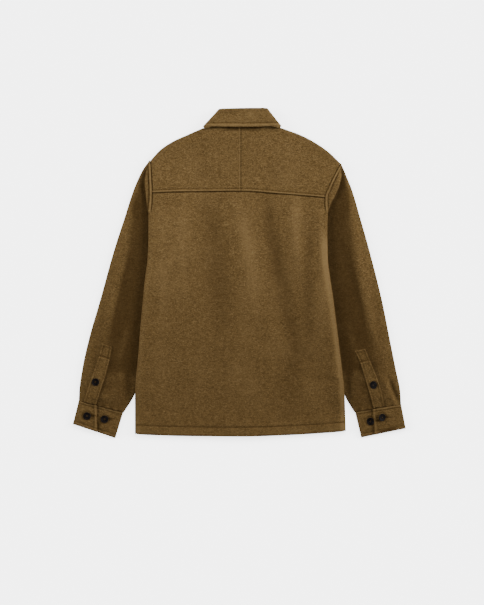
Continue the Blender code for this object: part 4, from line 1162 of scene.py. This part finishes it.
def collar_stand(material):
    """The stand inside the leaf, from the neck seam to the collar's fold."""
    wall = Wall(plain_relief)
    reach = (0, 0.5, 1)
    neck = {side: Spot(SHOULDER[side][0].x - side * 2.5, SHOULDER[side][0].y + 1.2) for side in (-1, 1)}
    top = {side: Spot(LEAF[side].fold.x - side * STAND_INSET * 0.6, LEAF[side].fold.y - STAND_INSET * 0.8)
           for side in (-1, 1)}

    def front_line(side, t):
        x, y = front_neck(side, t)
        foot = Spot(x - side * SEAM, y + 2 * SEAM)
        return [lay(*between(foot, between(top[side], STAND_FRONT[side], t), s), STAND_LOW, -1)
                for s in reach]

    def side_line(side, turn):
        inward = (STAND_HIGH - STAND_LOW) / 2 * set_back(turn)
        return [on_bend(p.x - side * inward * 0.8, p.y - inward * 0.6,
                        (side * COLLAR_FACING[0], COLLAR_FACING[1]), STAND_LOW, STAND_HIGH, turn)
                for p in (between(neck[side], top[side], s) for s in reach)]

    def back_line(t):
        x = mix(neck[-1].x, neck[1].x, t)
        foot = Spot(x, neck_edge(x, SEAM))
        return [lay(*between(foot, between(top[-1], top[1], t), s), STAND_HIGH) for s in reach]

    grid = round_neck(front_line, side_line, back_line, (1, 0.7, 0.4, 0.15),
                      (-1, -0.5, 0, 0.5, 1), (0.17, 0.33, 0.5, 0.67, 0.83))
    down = [4, 4, 4, 2] + [1] * 4 + [3] + [6] * 4 + [3] + [1] * 4 + [2, 4, 4, 4]
    wall.patch(grid, down, [5, 5])
    return wall.make("collar_stand", material)


def set_inputs(node, values):
    for name, value in values.items():
        node.inputs[name].default_value = value


def nap_and_painted_shade():
    """Node group: mottled heather colour and the raised nap of brushed wool, with painted shade and highlight
    from the cloth's shade attribute and painted shade towards the bottom.
    """
    group = bpy.data.node_groups.new("nap_and_painted_shade", "ShaderNodeTree")
    for name, kind, value in (
            ("Deep", "Color", (0.1, 0.06, 0.02, 1)), ("Body", "Color", (0.14, 0.08, 0.026, 1)),
            ("Light", "Color", (0.2, 0.13, 0.05, 1)), ("PaintedShadeColour", "Color", (*PAINTED_SHADE_COLOUR, 1)),
            ("Nap", "Float", 1.0), ("PaintedShadeAndHighlight", "Float", 0.0)):
        socket = group.interface.new_socket(name=name, in_out="INPUT", socket_type="NodeSocket" + kind)
        socket.default_value = value
    for name, kind in (("Color", "Color"), ("Height", "Float")):
        group.interface.new_socket(name=name, in_out="OUTPUT", socket_type="NodeSocket" + kind)
    nodes, links = group.nodes, group.links
    start = nodes.new("NodeGroupInput").outputs
    end = nodes.new("NodeGroupOutput")
    place = nodes.new("ShaderNodeTexCoord")

    def noise_at(scale, detail, rough, stretch=(1, 1, 1)):
        mapping = nodes.new("ShaderNodeMapping")
        mapping.inputs["Scale"].default_value = stretch
        texture = nodes.new("ShaderNodeTexNoise")
        set_inputs(texture, {"Scale": scale, "Detail": detail, "Roughness": rough})
        links.new(place.outputs["Object"], mapping.inputs["Vector"])
        links.new(mapping.outputs["Vector"], texture.inputs["Vector"])
        return texture.outputs["Fac"]

    def ranged(value, low, high):
        span = nodes.new("ShaderNodeMapRange")
        span.interpolation_type = "SMOOTHSTEP"
        set_inputs(span, {"From Min": low, "From Max": high})
        links.new(value, span.inputs["Value"])
        return span.outputs["Result"]

    def blend(amount, a, b):
        mixer = nodes.new("ShaderNodeMix")
        mixer.data_type = "RGBA"
        links.new(amount, mixer.inputs["Factor"])
        links.new(a, mixer.inputs[6])
        links.new(b, mixer.inputs[7])
        return mixer.outputs[2]

    def reckon(operation, a, b):
        node = nodes.new("ShaderNodeMath")
        node.operation = operation
        links.new(a, node.inputs[0])
        if isinstance(b, float):
            node.inputs[1].default_value = b
        else:
            links.new(b, node.inputs[1])
        return node.outputs[0]

    clumps = noise_at(250, 3, 0.62, (0.7, 1.25, 1.0))
    flecks = noise_at(520, 3, 0.7, (0.7, 1.3, 1.0))
    hairs = noise_at(1300, 2, 0.6, (0.4, 1.0, 1.0))
    patches = noise_at(14, 2, 0.5)
    mottles = noise_at(105, 3, 0.65, (0.75, 1.2, 1.0))
    parts = nodes.new("ShaderNodeSeparateXYZ")
    links.new(place.outputs["Object"], parts.inputs["Vector"])
    colour = blend(ranged(clumps, 0.32, 0.62), start["Deep"], start["Body"])
    # Flecks, mottles and patches are the wool's own colour; the last three blends are painted shade in
    # valleys, painted highlight on ridges and painted shade towards the bottom
    for value, low, high, amount, shade in (
            (flecks, 0.46, 0.74, 0.8, "Light"), (mottles, 0.52, 0.3, 0.27, "Deep"),
            (mottles, 0.5, 0.72, 0.16, "Light"), (patches, 0.45, 0.7, 0.08, "Light"),
            (start["PaintedShadeAndHighlight"], 0.0, 1.0, VALLEY_PAINTED_SHADE, "PaintedShadeColour"),
            (start["PaintedShadeAndHighlight"], 0.0, -1.0, RIDGE_PAINTED_HIGHLIGHT, "Light"),
            (parts.outputs["Y"], 0.24, -0.36, HEM_PAINTED_SHADE, "PaintedShadeColour")):
        colour = blend(reckon("MULTIPLY", ranged(value, low, high), amount), colour, start[shade])
    links.new(colour, end.inputs["Color"])
    fine_hairs = reckon("ADD", reckon("MULTIPLY", flecks, 0.5), reckon("MULTIPLY", hairs, 0.25))
    height = reckon("ADD", reckon("MULTIPLY", clumps, 0.6), fine_hairs)
    links.new(reckon("MULTIPLY", height, start["Nap"]), end.inputs["Height"])
    return group


def finish(name, values):
    """A new material and its shader."""
    material = bpy.data.materials.new(name)
    material.use_nodes = True
    shader = material.node_tree.nodes["Principled BSDF"]
    set_inputs(shader, values)
    return material, shader


def wool_finish(name, group, colours, nap, bump):
    material, shader = finish(name, {
        "Roughness": 0.95, "IOR": 1.12, "Specular IOR Level": 0.03,
        "Sheen Weight": 0.008, "Sheen Roughness": 0.5, "Sheen Tint": (0.42, 0.31, 0.17, 1)})
    nodes, links = material.node_tree.nodes, material.node_tree.links
    cloth = nodes.new("ShaderNodeGroup")
    cloth.node_tree = group
    set_inputs(cloth, {shade: (*colour, 1) for shade, colour in colours.items()})
    cloth.inputs["Nap"].default_value = nap
    # The cloth's painted shade and highlight, read from its attribute
    valley = nodes.new("ShaderNodeAttribute")
    valley.attribute_name = "valley"
    links.new(valley.outputs["Fac"], cloth.inputs["PaintedShadeAndHighlight"])
    relief = nodes.new("ShaderNodeBump")
    set_inputs(relief, {"Strength": bump, "Distance": 0.0016})
    links.new(cloth.outputs["Color"], shader.inputs["Base Color"])
    links.new(cloth.outputs["Height"], relief.inputs["Height"])
    links.new(relief.outputs["Normal"], shader.inputs["Normal"])
    return material


def horn_finish():
    """Dark button: near black, a little streaked, softly glossy."""
    material, shader = finish("dark_horn", {"Roughness": 0.5, "IOR": 1.2, "Specular IOR Level": 0.1})
    nodes, links = material.node_tree.nodes, material.node_tree.links
    place = nodes.new("ShaderNodeTexCoord")
    streak = nodes.new("ShaderNodeTexNoise")
    set_inputs(streak, {"Scale": 180, "Detail": 3})
    ramp = nodes.new("ShaderNodeValToRGB")
    for stop, position, colour in zip(ramp.color_ramp.elements, (0.38, 0.72), (HORN_DARK, HORN_LIGHT)):
        stop.position = position
        stop.color = colour
    links.new(place.outputs["Object"], streak.inputs["Vector"])
    links.new(streak.outputs["Fac"], ramp.inputs["Fac"])
    links.new(ramp.outputs["Color"], shader.inputs["Base Color"])
    return material


def dress(piece, node):
    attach(piece, "root")
    if node:
        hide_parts(node)


def skin(pieces):
    """One tree over the dressed cloth, to lay thread and buttons on."""
    return BVHTree.FromPolygons(*joined(
        ([v.co[:] for v in piece.data.vertices], [face.vertices for face in piece.data.polygons])
        for piece in pieces))


def top_at(tree, x, y):
    """Height of the cloth's upper side, in millimetres."""
    hit = tree.ray_cast(Vector((x * MM, y * MM, 0.1)), Vector((0, 0, -1)))[0]
    return None if hit is None else hit.z / MM


def thread_ring(x, y, z, ahead, radius):
    """Six points round a thread that runs ahead."""
    size = math.hypot(*ahead) or 1.0
    spots = []
    for k in range(6):
        angle = math.pi * k / 3
        side = radius * math.cos(angle) / size
        spots.append((x - ahead[1] * side, y + ahead[0] * side, z + radius * math.sin(angle)))
    return spots


def tube(rings):
    """Corners and faces of a closed thread through its rings."""
    size = len(rings[0])
    corners = [p for ring in rings for p in ring]
    last = len(corners) - size
    faces = []
    for base in range(0, last, size):
        for k in range(size):
            n = (k + 1) % size
            faces.append([base + k, base + n, base + size + n, base + size + k])
    return corners, faces + [list(reversed(range(size))), [last + k for k in range(size)]]


def stitch_line(tree, path):
    """Stitches along a path of (x, y), each a short low arch of thread."""
    xs, ys = zip(*path)
    length = [0.0]
    for a, b in zip(path, path[1:]):
        length.append(length[-1] + math.dist(a, b))

    def place(at):
        return np.interp(at, length, xs), np.interp(at, length, ys)

    stitches = []
    start = STITCH_GAP
    while start + STITCH < length[-1]:
        rings = []
        for t, size, lift in ((0.0, 0.35, -0.6), (0.25, 1.0, 0.4), (0.75, 1.0, 0.4), (1.0, 0.35, -0.6)):
            at = start + STITCH * t
            x, y = place(at)
            z = top_at(tree, x, y)
            if z is None:
                break
            ahead = place(at + 0.2)[0] - x, place(at + 0.2)[1] - y
            rings.append(thread_ring(x, y, z + THREAD * lift - STITCH_SINK, ahead, THREAD * size))
        else:
            stitches.append(tube(rings))
        start += STITCH + STITCH_GAP
    return joined(stitches)


def stitch_paths():
    """Where the topstitching runs, in millimetres."""
    hem = [(x, hem_y(x) + HEM_TURN) for x in np.linspace(-244, 249, 60)]
    yoke_line = [(x, yoke_seam(x) + YOKE_STITCH) for x in np.linspace(-203, 203, 50)]
    leaf = [(leaf_edge(t).x, leaf_edge(t).y + LEAF_STITCH) for t in np.linspace(0.02, 0.98, 30)]
    paths = {"body_stitching": [hem, yoke_line], "collar_stitching": [leaf]}
    for side, name in SIDE_NAMES.items():
        paths["armhole_stitching_" + name] = [
            [(side * (armhole(side, y) + ARM_STITCH), y) for y in np.linspace(150, 252, 30)]]
        cuff_lines = []
        for v, shift, low, high in ((1, CUFF_LOW_STITCH, 0.05, 0.95), (0, -CUFF_TOP_STITCH, 0.04, 0.96)):
            spots = [cuff_plan(side, w, v) for w in np.linspace(low, high, 24)]
            cuff_lines.append([(x, y + shift) for x, y in spots])
        paths["cuff_stitching_" + name] = cuff_lines
        rows = PLACKETS[side]
        lines = [[(side * (row.out_x - STRIP_STITCH), row.out_y) for row in rows],
                 [(side * (row.in_x + STRIP_STITCH), row.in_y) for row in rows]]
        for row, shift in ((rows[-1], -3.5), (rows[-3], 1.0)):
            lines.append([(side * (row.out_x - BOX_STITCH), row.out_y + shift),
                          (side * (row.in_x + BOX_STITCH), row.in_y + shift)])
        paths["placket_stitching_" + name] = lines
    return paths


def drum(sides, radius, depth, spot):
    """A plain cylinder whose middle is at half a button's height."""
    bpy.ops.mesh.primitive_cylinder_add(vertices=sides, radius=radius * MM, depth=depth * MM,
                                        location=(spot[0] * MM, spot[1] * MM, BUTTON_H / 2 * MM))
    return bpy.context.object


def button_blank(material):
    """One turned button with a rolled rim, a dished middle and four holes, at the origin."""
    bpy.ops.object.select_all(action="DESELECT")
    blank = drum(40, BUTTON_R, BUTTON_H, (0, 0))
    blank.name = "button_blank"
    bpy.ops.object.transform_apply(location=True, rotation=True, scale=True)
    bpy.ops.object.mode_set(mode="EDIT")
    bpy.ops.mesh.select_all(action="DESELECT")
    bpy.ops.object.mode_set(mode="OBJECT")
    for face in blank.data.polygons:
        face.select = face.normal.z > 0.9
    bpy.ops.object.mode_set(mode="EDIT")
    bpy.ops.mesh.inset(thickness=RIM * MM)
    bpy.ops.mesh.inset(thickness=DISH_SLOPE * MM)
    bpy.ops.transform.translate(value=(0, 0, -DISH * MM))
    bpy.ops.object.mode_set(mode="OBJECT")
    rim = blank.modifiers.new("rolled rim", "BEVEL")
    rim.width = 0.75 * MM
    rim.segments = 3
    rim.limit_method = "ANGLE"
    rim.angle_limit = math.radians(40)
    bpy.ops.object.modifier_apply(modifier=rim.name)
    for spot in HOLES:
        drill = drum(12, HOLE_R, 2 * BUTTON_H, spot)
        hole = blank.modifiers.new("hole", "BOOLEAN")
        hole.operation = "DIFFERENCE"
        hole.solver = "EXACT"
        hole.object = drill
        bpy.context.view_layer.objects.active = blank
        bpy.ops.object.modifier_apply(modifier=hole.name)
        bpy.data.objects.remove(drill, do_unlink=True)
    bpy.ops.object.select_all(action="DESELECT")
    blank.select_set(True)
    bpy.context.view_layer.objects.active = blank
    bpy.ops.object.shade_smooth_by_angle(angle=math.radians(38))
    blank.data.materials.clear()
    blank.data.materials.append(material)
    return blank


def knot_blank(material):
    """Two crossing loops of thread through the four holes."""
    loops = []
    for a, b in ((HOLES[0], HOLES[2]), (HOLES[1], HOLES[3])):
        ahead = b[0] - a[0], b[1] - a[1]
        rings = []
        for t in (k / 6 for k in range(7)):
            z = KNOT_FOOT + KNOT_ARCH * math.sin(math.pi * t)
            rings.append(thread_ring(mix(a[0], b[0], t), mix(a[1], b[1], t), z, ahead, KNOT_THREAD))
        loops.append(tube(rings))
    return closed_piece("knot_blank", *joined(loops), material)


def placed(blank, name, spot, lean, spin):
    """A copy of a piece with its own mesh, turned and set down in place."""
    piece = bpy.data.objects.new(name, blank.data.copy())
    bpy.context.collection.objects.link(piece)
    turn = Matrix.Rotation(lean[1], 4, "Y") @ Matrix.Rotation(lean[0], 4, "X") @ Matrix.Rotation(spin, 4, "Z")
    piece.data.transform(Matrix.Translation(Vector(spot) * MM) @ turn)
    return piece


def sew(wool):
    """All cloth pieces, by the node that each stands for."""
    pieces = {"back_panel": back_panel(wool), "front_band": front_band(wool),
              "collar_leaf": collar_leaf(wool), "collar_stand": collar_stand(wool)}
    for side, end in SIDE_NAMES.items():
        for name, make in (("yoke_", yoke), ("front_", front), ("sleeve_", sleeve), ("cuff_", cuff),
                           ("sleeve_placket_", placket)):
            pieces[name + end] = make(side, wool)
    for node, piece in pieces.items():
        dress(piece, node)
    return pieces


def fasten(tree, horn, thread):
    """Buttons with their thread, each sunk a little into the cloth it is sewn to."""
    blank, knot = button_blank(horn), knot_blank(thread)
    for side, row in SLEEVE_BUTTONS.items():
        for k, spec in enumerate(row):
            x, y = side * spec.x, spec.y
            heights = sorted(top_at(tree, x + 7 * math.cos(a), y + 7 * math.sin(a)) or 0
                             for a in np.linspace(0, 2 * math.pi, 9)[:-1])
            z = heights[len(heights) // 2] + 0.1 + 2.2 * abs(spec.lean[1])
            if spec.name in TUCKED:
                aside, deep = TUCKED[spec.name]
                x, z = x + side * aside, CUFF_MID + CLOTH / 2 + deep
            spin = 0.4 + k * 0.9 + side
            dress(placed(blank, spec.name + "_horn", (x, y, z), spec.lean, spin), spec.name)
            dress(placed(knot, spec.name + "_thread", (x, y, z), spec.lean, spin), None)
    for k in range(FRONT_BUTTONS):
        name = "front_button_%d" % (k + 1)
        spot = ((BAND_IN + BAND_OUT) / 2, mix(262, -300, k / (FRONT_BUTTONS - 1)), 0.0)
        dress(placed(blank, name + "_horn", spot, (0, 0), 0.3 * k), name)
    for item in (blank, knot):
        bpy.data.objects.remove(item, do_unlink=True)


def soft_light(name, spot, softness, power):
    """A broad, far light that comes from the given place."""
    data = bpy.data.lights.new(name, "SUN")
    data.angle = softness
    data.energy = power
    lamp = bpy.data.objects.new(name, data)
    lamp.location = spot
    lamp.rotation_euler = (-Vector(spot)).to_track_quat("-Z", "Y").to_euler()
    bpy.context.collection.objects.link(lamp)


def surroundings():
    """Plain pale surface, soft lights from both sides and the top, and the camera straight above."""
    bpy.ops.object.select_all(action="DESELECT")
    bpy.ops.mesh.primitive_plane_add(size=30, location=(0, 0, -0.0004))
    floor = bpy.context.object
    floor.name = "pale_surface"
    bpy.ops.object.transform_apply(location=True, rotation=True, scale=True)
    paper, _ = finish("pale_paper", {
        "Base Color": FLOOR_COLOUR, "Roughness": 0.9, "Specular IOR Level": 0.1,
        "Emission Color": (1, 1, 1, 1), "Emission Strength": FLOOR_GLOW})
    floor.data.materials.append(paper)
    world = bpy.data.worlds.new("soft_room")
    world.use_nodes = True
    set_inputs(world.node_tree.nodes["Background"], {"Color": ROOM_COLOUR, "Strength": ROOM_LIGHT})
    bpy.context.scene.world = world
    for light in LIGHTS:
        soft_light(*light)
    camera_data = bpy.data.cameras.new("camera")
    camera_data.sensor_fit = "HORIZONTAL"
    camera_data.sensor_width = SENSOR
    camera_data.lens = SENSOR * CAMERA_HEIGHT / VIEW_WIDTH
    camera = bpy.data.objects.new("camera", camera_data)
    camera.location = (*VIEW_MIDDLE, CAMERA_HEIGHT)
    bpy.context.collection.objects.link(camera)
    bpy.context.scene.camera = camera


nap = nap_and_painted_shade()
wool = wool_finish("olive_wool_nap_and_painted_shade", nap, WOOL_COLOURS, 1.0, 0.6)
thread = wool_finish("sewing_thread", nap, THREAD_COLOURS, 0.4, 0.2)
horn = horn_finish()
pieces = sew(wool)
cloth_skin = skin(pieces.values())
for line_name, paths in stitch_paths().items():
    corners, faces = joined(stitch_line(cloth_skin, path) for path in paths)
    dress(closed_piece(line_name, corners, faces, thread), None)
fasten(cloth_skin, horn, thread)
surroundings()
